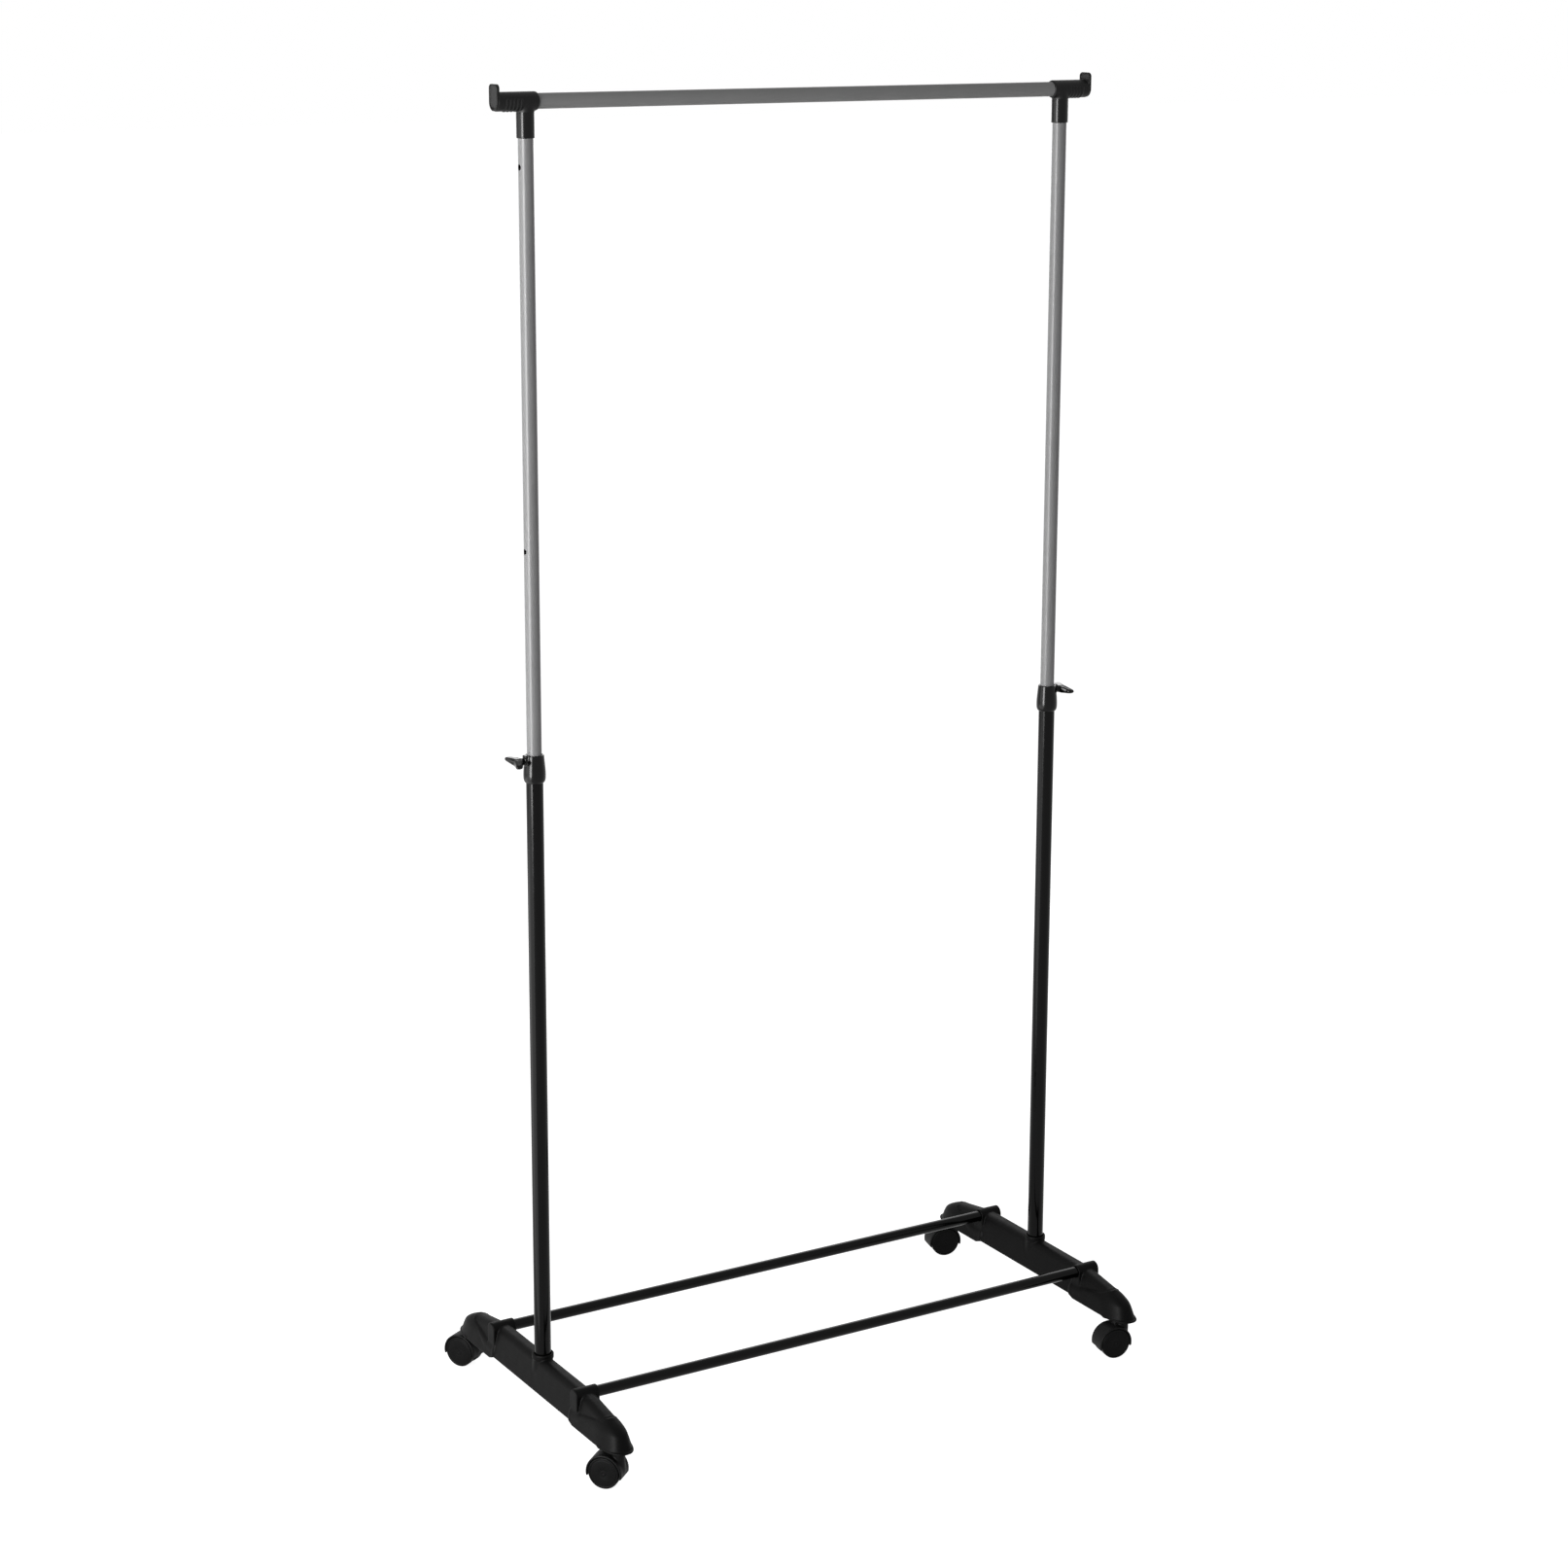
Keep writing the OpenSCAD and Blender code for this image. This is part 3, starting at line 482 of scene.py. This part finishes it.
def foot_skin():
    """Shell of beam and pods with its pole collar, rail bosses and caster sockets."""
    x, y, z = grid(*FOOT_BOX, FOOT_VOXEL)
    far = np.abs(y)
    mass = foot_mass(x, far, z)
    bottom = np.interp(far, BELLY_RAMP, (BEAM_BOTTOM, POD_BOTTOM))
    solid = smax(mass, bottom - z + 0 * x, BOTTOM_ROUND)
    solid = smin(solid, lip_field(x, far, z), LIP_FILLET)
    solid = smax(solid, -(mass + SHELL), SHELL_ROUND)
    column = cylinder(x, y, z, COLUMN_R, BEAM_BOTTOM, COLLAR_Z[1] - COLUMN_DROP, COLUMN_ROUND)
    solid = smin(solid, column, COLUMN_FILLET)
    collar = cylinder(x, y, z, COLLAR_R, *COLLAR_Z, COLLAR_ROUND)
    solid = smin(solid, collar, COLLAR_FILLET)
    solid = smin(solid, boss_field(x, far - BOSS_Y, z), BOSS_FILLET)
    socket = cylinder(x, far - STEM_Y, z, SOCKET_R, POD_BOTTOM, SOCKET_TOP, SOCKET_ROUND)
    socket = smax(socket, mass + SHELL / 2, SOCKET_ROUND)
    solid = smin(solid, socket, SOCKET_FILLET)
    solid = carve(solid, bore(x, y, z, POLE_R + SEAT_PLAY, SEAT_Z, BEYOND))
    solid = carve(solid, bore(x, y, z, POLE_R + COLLAR_FLARE, COLLAR_Z[1] - COLLAR_FLARE, BEYOND))
    rail_end = BOSS_X[1] - BOSS_CAP
    solid = carve(solid, bore(far - BOSS_Y, z - BOSS_Z, x, RAIL_R + SEAT_PLAY, -BEYOND, rail_end))
    solid = carve(solid, bore(x, far - STEM_Y, z, SLEEVE_R, -BEYOND, SLEEVE_TOP))
    return skin(solid, FOOT_BOX[0], FOOT_VOXEL)


# Tee: x outwards from the pole, z up, origin where the axes of rail and pole cross

TEE_VOXEL = 0.6
TEE_BOX = ((-17.2, -13.0, -45.5), (44.5, 13.0, 22.5))
TEE_INNER, TEE_OUTER = -15.5, 43.0
BARREL_R, BARREL_ROUND = 11.65, 3.2
BARREL_SPARE, BARREL_OVERLAP, BARREL_END_ROUND = 8.0, 1.0, 0.3
TEE_STEM_R, TEE_STEM_TOP, TEE_DROP = 11.25, 2.0, 44.0
TEE_STEM_ROUND, TEE_STEM_FILLET = 1.2, 1.8
TONGUE_R = 11.05
TONGUE_T = 4.0
TONGUE_RISE = 21.0
TONGUE_CORNER = 5.5
TONGUE_ROUND = 0.7
TONGUE_RIM = 2.2
TONGUE_RECESS, RECESS_ROUND = 1.5, 0.35
BACK_RECESS_GAP, BACK_RECESS_ROUND = 1.0, 0.5
RIB_COUNT, RIB_PITCH, RIB_LAST, RIB_RISE = 5, 4.9, 29.0, 0.9
RIB_TOP, RIB_TOP_ROUND, RIB_END_ROUND, RIB_FILLET = 3.5, 1.0, 0.3, 0.2
TEE_PLAY, TEE_BORE_ROUND = 0.1, 0.3
TEE_RAIL_STOP, TEE_POLE_STOP = 10.0, -10.9


def tongue_field(y, z, inset):
    """Outline of the tongue, round below and flat with round corners on top."""
    corner = TONGUE_CORNER - inset
    qy = np.abs(y) - (TONGUE_R - inset - corner)
    qz = z - (TONGUE_RISE - inset - corner)
    top = np.minimum(np.maximum(qy, qz), 0) + np.hypot(np.maximum(qy, 0), np.maximum(qz, 0)) - corner
    return np.where(z < 0, np.hypot(y, z) - (TONGUE_R - inset), top)


def rib_field(x, y, z):
    """Grip ribs around the lower half of the barrel."""
    wave = 0.5 + 0.5 * np.cos(2 * math.pi * (x - RIB_LAST) / RIB_PITCH)
    zone = RIB_COUNT * RIB_PITCH / 2
    ribs = np.hypot(y, z) - BARREL_R - RIB_RISE * wave
    ribs = smax(ribs, np.abs(x - RIB_LAST - RIB_PITCH / 2 + zone) - zone + 0 * ribs, RIB_END_ROUND)
    return smax(ribs, z - RIB_TOP + 0 * ribs, RIB_TOP_ROUND)


def tee_skin():
    """Barrel with ribs, stem below it, and a tongue that is hollowed on both faces."""
    x, y, z = grid(*TEE_BOX, TEE_VOXEL)
    plate = TEE_OUTER - TONGUE_T
    barrel = cylinder(y, z, x, BARREL_R, TEE_INNER, plate + BARREL_SPARE, BARREL_ROUND)
    barrel = smax(barrel, x - plate - BARREL_OVERLAP + 0 * y + 0 * z, BARREL_END_ROUND)
    stem = cylinder(x, y, z, TEE_STEM_R, -TEE_DROP, TEE_STEM_TOP, TEE_STEM_ROUND)
    solid = smin(barrel, stem, TEE_STEM_FILLET)
    solid = smin(solid, rib_field(x, y, z), RIB_FILLET)
    slab = np.abs(x - TEE_OUTER + TONGUE_T / 2) - TONGUE_T / 2
    solid = smin(solid, smax(tongue_field(y, z, 0.0) + 0 * x, slab, TONGUE_ROUND), TONGUE_ROUND)
    hollow = tongue_field(y, z, TONGUE_RIM)
    front = smax(hollow, TEE_OUTER - TONGUE_RECESS - x, RECESS_ROUND)
    solid = carve(solid, front, RECESS_ROUND)
    back = smax(hollow, x - plate - TONGUE_RECESS, RECESS_ROUND)
    back = smax(back, BARREL_R + BACK_RECESS_GAP - z + 0 * back, BACK_RECESS_ROUND)
    solid = carve(solid, back, RECESS_ROUND)
    solid = carve(solid, bore(y, z, x, TUBE_R + TEE_PLAY, -BEYOND, TEE_RAIL_STOP), TEE_BORE_ROUND)
    solid = carve(solid, bore(x, y, z, TUBE_R + TEE_PLAY, -BEYOND, TEE_POLE_STOP), TEE_BORE_ROUND)
    return skin(solid, TEE_BOX[0], TEE_VOXEL)


# Upper pole: x outwards, z up from the floor

POLE_WALL = 1.0
POLE_ENDS = (827.0, 1707.05)
HOLE_R = 3.6
HOLE_Z = (SCREW_Z, 1168.5, 1639.5)
PATCH_ANGLE, PATCH_RISE, PATCH_CELLS = 0.6, 6.0, 12
PATCH_RINGS = (0.0, 0.15, 0.5, 1.0)
PLAIN_CELLS = 44
SHARP_FROM = math.radians(40)


def patch_border():
    """Cell corners around the border of a patch, as shares of its half width and half height."""
    steps = np.linspace(-1, 1, PATCH_CELLS + 1)[:-1]
    one = np.ones(PATCH_CELLS)
    return np.concatenate([np.stack(side, axis=1) for side in
                           ((steps, -one), (one, steps), (-steps, one), (-one, -steps))])


def pole_mesh(name, sign):
    """Tube about Z with index holes on its outer side, each in a patch of rings within a plain grid."""
    mesh = bmesh.new()
    corners = {}

    def corner(radius, angle, z):
        """Corner at a place on a wall, made once."""
        key = (radius, round(angle % (2 * math.pi), 5), round(z, 4))
        if key not in corners:
            spot = (sign * radius * math.cos(angle), radius * math.sin(angle), z)
            corners[key] = mesh.verts.new([c * MM for c in spot])
        return corners[key]

    def strip(first, second):
        """Faces between two closed rows of corners."""
        for k in range(len(first)):
            mesh.faces.new((first[k - 1], first[k], second[k], second[k - 1]))

    across = np.linspace(-PATCH_ANGLE, PATCH_ANGLE, PATCH_CELLS + 1)
    columns = [*across[:-1], *np.linspace(PATCH_ANGLE, 2 * math.pi - PATCH_ANGLE, PLAIN_CELLS + 1)]
    up = np.linspace(-PATCH_RISE, PATCH_RISE, PATCH_CELLS + 1)
    rows = [POLE_ENDS[0], *(z for hole in HOLE_Z for z in hole + up), POLE_ENDS[1]]
    walls = (TUBE_R, TUBE_R - POLE_WALL)
    for radius in walls:
        for low, high in zip(rows, rows[1:]):
            drilled = any(abs((low + high) / 2 - hole) < PATCH_RISE for hole in HOLE_Z)
            for a, b in list(zip(columns, columns[1:]))[PATCH_CELLS if drilled else 0:]:
                mesh.faces.new([corner(radius, *at) for at in ((a, low), (b, low), (b, high), (a, high))])
    for z in POLE_ENDS:
        strip(*([corner(radius, a, z) for a in columns[:-1]] for radius in walls))
    border = patch_border() * (PATCH_ANGLE, PATCH_RISE)
    toward = np.arctan2(border[:, 1], border[:, 0] * TUBE_R)
    for hole in HOLE_Z:
        rims = []
        for radius in walls:
            rim = np.stack([np.arcsin(HOLE_R * np.cos(toward) / radius), HOLE_R * np.sin(toward)], axis=1)
            rings = [rim + share * (border - rim) for share in PATCH_RINGS]
            rings = [[corner(radius, a, hole + z) for a, z in ring] for ring in rings]
            for first, second in zip(rings, rings[1:]):
                strip(first, second)
            rims.append(rings[0])
        strip(*rims)
    bmesh.ops.recalc_face_normals(mesh, faces=mesh.faces)
    result = bpy.data.meshes.new(name)
    mesh.to_mesh(result)
    mesh.free()
    result.shade_smooth()
    result.set_sharp_from_angle(angle=SHARP_FROM)
    return result


# Height clamp: x outwards from the pole, z from the clamp's rim

CLAMP_VOXEL = 0.6
CLAMP_BOX = ((-15.5, -15.5, -37.0), (16.5, 15.5, 2.0))
CLAMP_PROFILE = [(-38.0, 11.2), (-36.0, 11.9), (-34.6, 13.0), (-32.0, 13.95), (-28.0, 14.3), (-24.0, 14.3),
                 (-18.0, 13.95), (-10.0, 13.2), (-4.0, 12.65), (-1.0, 12.3), (0.0, 12.1), (2.0, 11.5)]
CLAMP_HALF, CLAMP_ROUND = 18.0, 0.8
CLAMP_PLAY, CLAMP_BORE_ROUND = 0.1, 0.3
NECK_R, NECK_DEPTH, NECK_ROUND = 9.85, 3.0, 0.5
SCREW_DROP = CLAMP_TOP - SCREW_Z
LUG_END, LUG_HALF, LUG_ROUND = 15.35, 5.2, 0.7
BRIDGE_HALF, BRIDGE_RISE, BRIDGE_ROUND = (LUG_END / 2 - 0.6, LUG_HALF - 0.4, 3.9), 0.2, 1.2
BRIDGE_FILLET, LUG_FILLET = 0.8, 1.2
INSERT_CAP, INSERT_ROUND = 1.5, 0.2


def clamp_skin():
    """Bell around the top of the lower pole, with a lug that carries the clamp screw."""
    x, y, z = grid(*CLAMP_BOX, CLAMP_VOXEL)
    bell = np.hypot(x, y) - curve(z, CLAMP_PROFILE)
    solid = smax(bell, np.abs(z + CLAMP_HALF) - CLAMP_HALF + 0 * bell, CLAMP_ROUND)
    boss = cylinder(y, z + SCREW_DROP, x, LUG_HALF, 0.0, LUG_END, LUG_ROUND)
    bridge = block(x - LUG_END / 2, y, z + SCREW_DROP / 2 - BRIDGE_RISE, BRIDGE_HALF, BRIDGE_ROUND)
    solid = smin(solid, smin(boss, bridge, BRIDGE_FILLET), LUG_FILLET)
    solid = carve(solid, bore(x, y, z, POLE_R + CLAMP_PLAY, -BEYOND, -NECK_DEPTH), CLAMP_BORE_ROUND)
    solid = carve(solid, bore(x, y, z, NECK_R, -BEYOND, BEYOND), NECK_ROUND)
    solid = carve(solid, bore(y, z + SCREW_DROP, x, STEM_BORE, 0.0, LUG_END - INSERT_CAP), INSERT_ROUND)
    solid = carve(solid, bore(y, z + SCREW_DROP, x, SCREW_BORE, 0.0, BEYOND), INSERT_ROUND)
    return skin(solid, CLAMP_BOX[0], CLAMP_VOXEL)


# Wing knob about its screw: x along the screw from the pole's axis, wings along +-y

KNOB_VOXEL = 0.45
KNOB_BOX = ((14.5, -19.0, -6.0), (34.5, 19.0, 6.0))
KNOB_TURN = 8.0
KNOB_START = 15.65
KNOB_HUB_R, KNOB_HUB_LEN, KNOB_HUB_ROUND = 4.6, 11.0, 1.0
WING_REACH = 18.5
WING_INNER = [(0.0, 1.5), (5.0, 2.4), (9.0, 4.6), (14.0, 7.6), (18.5, 9.4)]
WING_OUTER = [(0.0, 13.2), (6.0, 14.4), (12.0, 16.3), (16.0, 17.3), (18.5, 17.6)]
WING_HALF = [(0.0, 4.6), (5.0, 4.3), (10.0, 3.5), (15.0, 2.7), (18.5, 2.2)]
WING_EDGE_ROUND, WING_TIP_ROUND, WING_ROUND, WING_FILLET = 1.6, 2.6, 2.2, 1.0
STUD_DEPTH, STUD_ROUND = 8.1, 0.3


def knob_skin():
    """Hub with two wings that lean outwards."""
    x, y, z = grid(*KNOB_BOX, KNOB_VOXEL)
    span = np.abs(y)
    along = x - KNOB_START
    hub = cylinder(y, z, along, KNOB_HUB_R, 0.0, KNOB_HUB_LEN, KNOB_HUB_ROUND)
    leaf = smax(curve(span, WING_INNER) - along, along - curve(span, WING_OUTER), WING_EDGE_ROUND)
    leaf = smax(leaf, span - WING_REACH + 0 * along, WING_TIP_ROUND)
    wing = smax(leaf, np.abs(z) - curve(span, WING_HALF), WING_ROUND)
    solid = smin(hub, wing, WING_FILLET)
    solid = carve(solid, bore(y, z, along, SCREW_BORE, -BEYOND, STUD_DEPTH), STUD_ROUND)
    return skin(solid, KNOB_BOX[0], KNOB_VOXEL)


# Caster: x along the trail from the swivel axis, y along the axle, z up

HOOD_VOXEL = 0.7
HOOD_BOX = ((-10.5, -14.7, 10.0), (41.5, 14.7, 49.6))
HOOD_R, HOOD_HALF, HOOD_ROUND = 24.2, 14.1, 1.1
HOOD_BOTTOM, HOOD_BOTTOM_ROUND = 15.5, 0.5
HOOD_BORE, HOOD_BORE_END, HOOD_BORE_ROUND = 21.8, 0.2, 0.35
WEB_HALF = 3.5
HUB_R, HUB_ROUND, HUB_FILLET = 8.0, 0.3, 1.0
NECK_BOSS_R, NECK_BOSS_Z = 8.2, (21.0, 49.0)
NECK_BOSS_ROUND, NECK_BOSS_FILLET = 0.7, 1.6
STEM_START = 41.5
PIN_ROUND = 0.3
WHEEL_IN, WHEEL_W = 4.3, 9.8


def hood_skin():
    """Round hood over both wheels with a web between them and a boss for the stem."""
    x, y, z = grid(*HOOD_BOX, HOOD_VOXEL)
    ax, az = x - TRAIL, z - WHEEL_R
    shell = cylinder(ax, az, y, HOOD_R, -HOOD_HALF, HOOD_HALF, HOOD_ROUND)
    shell = smax(shell, HOOD_BOTTOM - z + 0 * shell, HOOD_BOTTOM_ROUND)
    hub = cylinder(ax, az, y, HUB_R, -WEB_HALF, WEB_HALF, HUB_ROUND)
    boss = cylinder(x, y, z, NECK_BOSS_R, *NECK_BOSS_Z, NECK_BOSS_ROUND)
    solid = smin(smin(shell, hub, HUB_FILLET), boss, NECK_BOSS_FILLET)
    side = cylinder(ax, az, np.abs(y), HOOD_BORE, WEB_HALF, BEYOND, HOOD_BORE_END)
    solid = carve(solid, side, HOOD_BORE_ROUND)
    solid = carve(solid, bore(ax, az, y, SCREW_BORE, -BEYOND, BEYOND), PIN_ROUND)
    solid = carve(solid, bore(x, y, z, STEM_BORE, STEM_START, BEYOND), PIN_ROUND)
    return skin(solid, HOOD_BOX[0], HOOD_VOXEL)


def wheel_mesh():
    """Wheel about Z, its closed face up: tread ring, groove, flat face and hub."""
    face = WHEEL_W
    profile = [
        (2.56, 0.0), (4.6, 0.0), (5.0, 0.4), (5.0, face - 2.4), (5.4, face - 2.0), (17.6, face - 2.0),
        (18.0, face - 2.4), (18.0, 0.4), (18.4, 0.0), (19.6, 0.0), (20.4, 0.3), (20.9, 1.0), (21.0, 1.9),
        (21.0, face - 2.0), (20.9, face - 1.1), (20.5, face - 0.4), (19.9, face - 0.05), (19.3, face),
        (18.3, face), (18.1, face - 0.12), (17.9, face - 0.45), (17.6, face - 0.45), (17.3, face - 0.2),
        (16.8, face - 0.12), (10.0, face - 0.04), (4.9, face), (4.6, face - 0.1), (4.4, face - 0.1),
        (4.1, face), (2.0, face), (0.02, face), (0.02, face - 2.3), (2.56, face - 2.3),
    ]
    return lathe("wheel", profile)


# The object

def make_sides():
    """Feet, tees, clamps and knobs, left and right."""
    kinds = [
        ("foot", foot_skin(), "base", "foot_charcoal", "foot", 0.0, 0.0),
        ("tee", tee_skin(), "upper_frame", "tee_black", "tee", RAIL_Z, 0.0),
        ("clamp", clamp_skin(), "base", "clamp_black", "height_clamp", CLAMP_TOP, 0.0),
        ("knob", knob_skin(), "knob_{side}", "clamp_black", "wing_knob", SCREW_Z, KNOB_TURN),
    ]
    for kind, shape, body, slot, node, height, turn in kinds:
        for side, sign in SIDES.items():
            mesh = mesh_of(f"{kind}_{side}", shape, sign)
            spot = moved(sign * POLE_X, 0, height) @ turned(turn, "X")
            piece(f"{kind}_{side}_moulded", mesh, body.format(side=side), slot, [f"{node}_{side}"], spot)


def make_poles():
    """Upper poles, left and right."""
    for side, sign in SIDES.items():
        spot = moved(sign * POLE_X, 0, 0)
        mesh = pole_mesh(f"pole_{side}", sign)
        piece(f"pole_{side}_drilled", mesh, "upper_frame", "pole_silver", [f"upper_pole_{side}"], spot)


def make_casters():
    """Four hoods with two wheels each."""
    hood, wheel = mesh_of("hood", hood_skin()), wheel_mesh()
    for end, (side, depth, heading) in CASTERS.items():
        spot = moved(side * POLE_X, depth * STEM_Y, 0) @ turned(heading, "Z")
        node = f"caster_hood_{end}"
        piece(f"hood_{end}_moulded", hood.copy(), f"caster_{end}", "caster_black", [node], spot)
        axle = spot @ moved(TRAIL, 0, WHEEL_R)
        for half, turn in (("a", -90.0), ("b", 90.0)):
            lie = turned(turn, "X") @ moved(0, 0, WHEEL_IN)
            name = f"wheel_{end}_{half}"
            piece(f"{name}_moulded", wheel.copy(), name, "wheel_black", [name], axle @ lie)


def dress_nodes():
    """Gives every CAD node its slot's material."""
    slots = {s["node"]: s["material_slot"] for s in frame["record"]["subparts"]}
    for name, obj in nodes.items():
        obj.data.materials.clear()
        obj.data.materials.append(MATERIALS[slots[name]])


# Studio

WHITE = (1.0, 1.0, 1.0, 1.0)
AMBIENT = 0.23
FLOOR_HALF = 30.0
FLOOR_GREY = 0.55
FLOOR_GLOW = 0.93
LAMP_AIM = (0, 0, 0.9)


def seen_directly(tree):
    """1 for camera, glossy and transmission rays."""
    path = tree.nodes.new("ShaderNodeLightPath")
    total = path.outputs["Is Camera Ray"]
    for name in ("Is Glossy Ray", "Is Transmission Ray"):
        total = math_node(tree, "MAXIMUM", total, path.outputs[name])
    return total


def make_world():
    """Even light, and plain white where it is seen directly."""
    world = bpy.data.worlds.new("studio")
    world.use_nodes = True
    tree = world.node_tree
    light = tree.nodes["Background"]
    light.inputs["Color"].default_value = WHITE
    light.inputs["Strength"].default_value = AMBIENT
    white = tree.nodes.new("ShaderNodeBackground")
    white.inputs["Color"].default_value = WHITE
    mix = tree.nodes.new("ShaderNodeMixShader")
    tree.links.new(seen_directly(tree), mix.inputs["Fac"])
    tree.links.new(light.outputs[0], mix.inputs[1])
    tree.links.new(white.outputs[0], mix.inputs[2])
    tree.links.new(mix.outputs[0], tree.nodes["World Output"].inputs["Surface"])
    bpy.context.scene.world = world


def make_floor():
    """Matte floor that takes the shadow and glows white where it is seen directly."""
    mesh = bpy.data.meshes.new("floor")
    corners = [(x * FLOOR_HALF, y * FLOOR_HALF, 0) for x, y in ((-1, -1), (1, -1), (1, 1), (-1, 1))]
    mesh.from_pydata(corners, [], [(0, 1, 2, 3)])
    floor = bpy.data.objects.new("floor", mesh)
    bpy.context.scene.collection.objects.link(floor)
    material = bpy.data.materials.new("floor_white")
    material.use_nodes = True
    tree = material.node_tree
    tree.nodes.remove(tree.nodes["Principled BSDF"])
    matte = tree.nodes.new("ShaderNodeBsdfDiffuse")
    matte.inputs["Color"].default_value = (*grey(FLOOR_GREY), 1)
    glow = tree.nodes.new("ShaderNodeEmission")
    glow.inputs["Strength"].default_value = FLOOR_GLOW
    both = tree.nodes.new("ShaderNodeAddShader")
    mix = tree.nodes.new("ShaderNodeMixShader")
    tree.links.new(matte.outputs[0], both.inputs[0])
    tree.links.new(glow.outputs[0], both.inputs[1])
    tree.links.new(seen_directly(tree), mix.inputs["Fac"])
    tree.links.new(matte.outputs[0], mix.inputs[1])
    tree.links.new(both.outputs[0], mix.inputs[2])
    tree.links.new(mix.outputs[0], tree.nodes["Material Output"].inputs["Surface"])
    mesh.materials.append(material)


def axes_at(azimuth, elevation, roll=0.0):
    """Right, up and back of what looks at the object: azimuth 0 stands at -Y, and -90 at -X."""
    a, e, t = (math.radians(v) for v in (azimuth, elevation, roll))
    back = np.array([math.sin(a) * math.cos(e), -math.cos(a) * math.cos(e), math.sin(e)])
    right = np.array([math.cos(a), math.sin(a), 0.0])
    up = np.cross(back, right)
    return right * math.cos(t) + up * math.sin(t), up * math.cos(t) - right * math.sin(t), back


def stand(obj, axes, spot):
    """Puts a lamp or camera in the scene."""
    bpy.context.scene.collection.objects.link(obj)
    place = np.eye(4)
    place[:3, :3] = np.transpose(axes)
    place[:3, 3] = spot
    obj.matrix_world = Matrix(place.tolist())


def area_light(name, azimuth, elevation, away, size, power, aim=LAMP_AIM, gloss_only=False):
    """Soft box at a distance from the point it aims at, in metres and watts."""
    lamp = bpy.data.lights.new(name, "AREA")
    lamp.shape = "RECTANGLE"
    lamp.size, lamp.size_y = size
    lamp.energy = power
    obj = bpy.data.objects.new(name, lamp)
    axes = axes_at(azimuth, elevation)
    stand(obj, axes, np.array(aim) + axes[2] * away)
    obj.visible_camera = False
    obj.visible_diffuse = not gloss_only


def make_lights():
    """Strips and panels at the left and behind, and a card on the floor that only shows in gloss."""
    area_light("key_strip", azimuth=-68, elevation=8, away=3.0, size=(0.1, 2.4), power=30)
    area_light("gloss_strip", azimuth=-70, elevation=8, away=2.9, size=(1.0, 2.4), power=190,
               gloss_only=True)
    area_light("left_panel", azimuth=-98, elevation=3, away=5.0, size=(4.0, 2.8), power=105,
               aim=(0, 0, 1.15))
    area_light("back_panel", azimuth=149, elevation=30, away=3.2, size=(2.6, 1.2), power=26,
               aim=(0, 0, 0.3))
    area_light("floor_card", azimuth=207, elevation=-90, away=0.02, size=(3.4, 2.6), power=80,
               aim=(-2.76, 0.26, 0.03), gloss_only=True)


# Camera at the photograph's viewing angle

CAMERA_AT = (-2.1713, -3.5558, 1.8961)
CAMERA_AZIMUTH, CAMERA_PITCH, CAMERA_ROLL = -31.07, 12.835, 0.192
CAMERA_SENSOR, CAMERA_LENS = 36.0, 74.553
CAMERA_SHIFT = -0.06
CAMERA_CLIP = (0.05, 200.0)


def make_camera():
    """Camera of the main view."""
    camera = bpy.data.cameras.new("camera")
    camera.sensor_width = CAMERA_SENSOR
    camera.lens = CAMERA_LENS
    camera.shift_y = CAMERA_SHIFT
    camera.clip_start, camera.clip_end = CAMERA_CLIP
    obj = bpy.data.objects.new("camera", camera)
    stand(obj, axes_at(CAMERA_AZIMUTH, CAMERA_PITCH, CAMERA_ROLL), CAMERA_AT)
    bpy.context.scene.camera = obj


MATERIALS = make_materials()
dress_nodes()
make_sides()
make_poles()
make_casters()
make_world()
make_floor()
make_lights()
make_camera()
bpy.context.scene.view_settings.view_transform = "Standard"
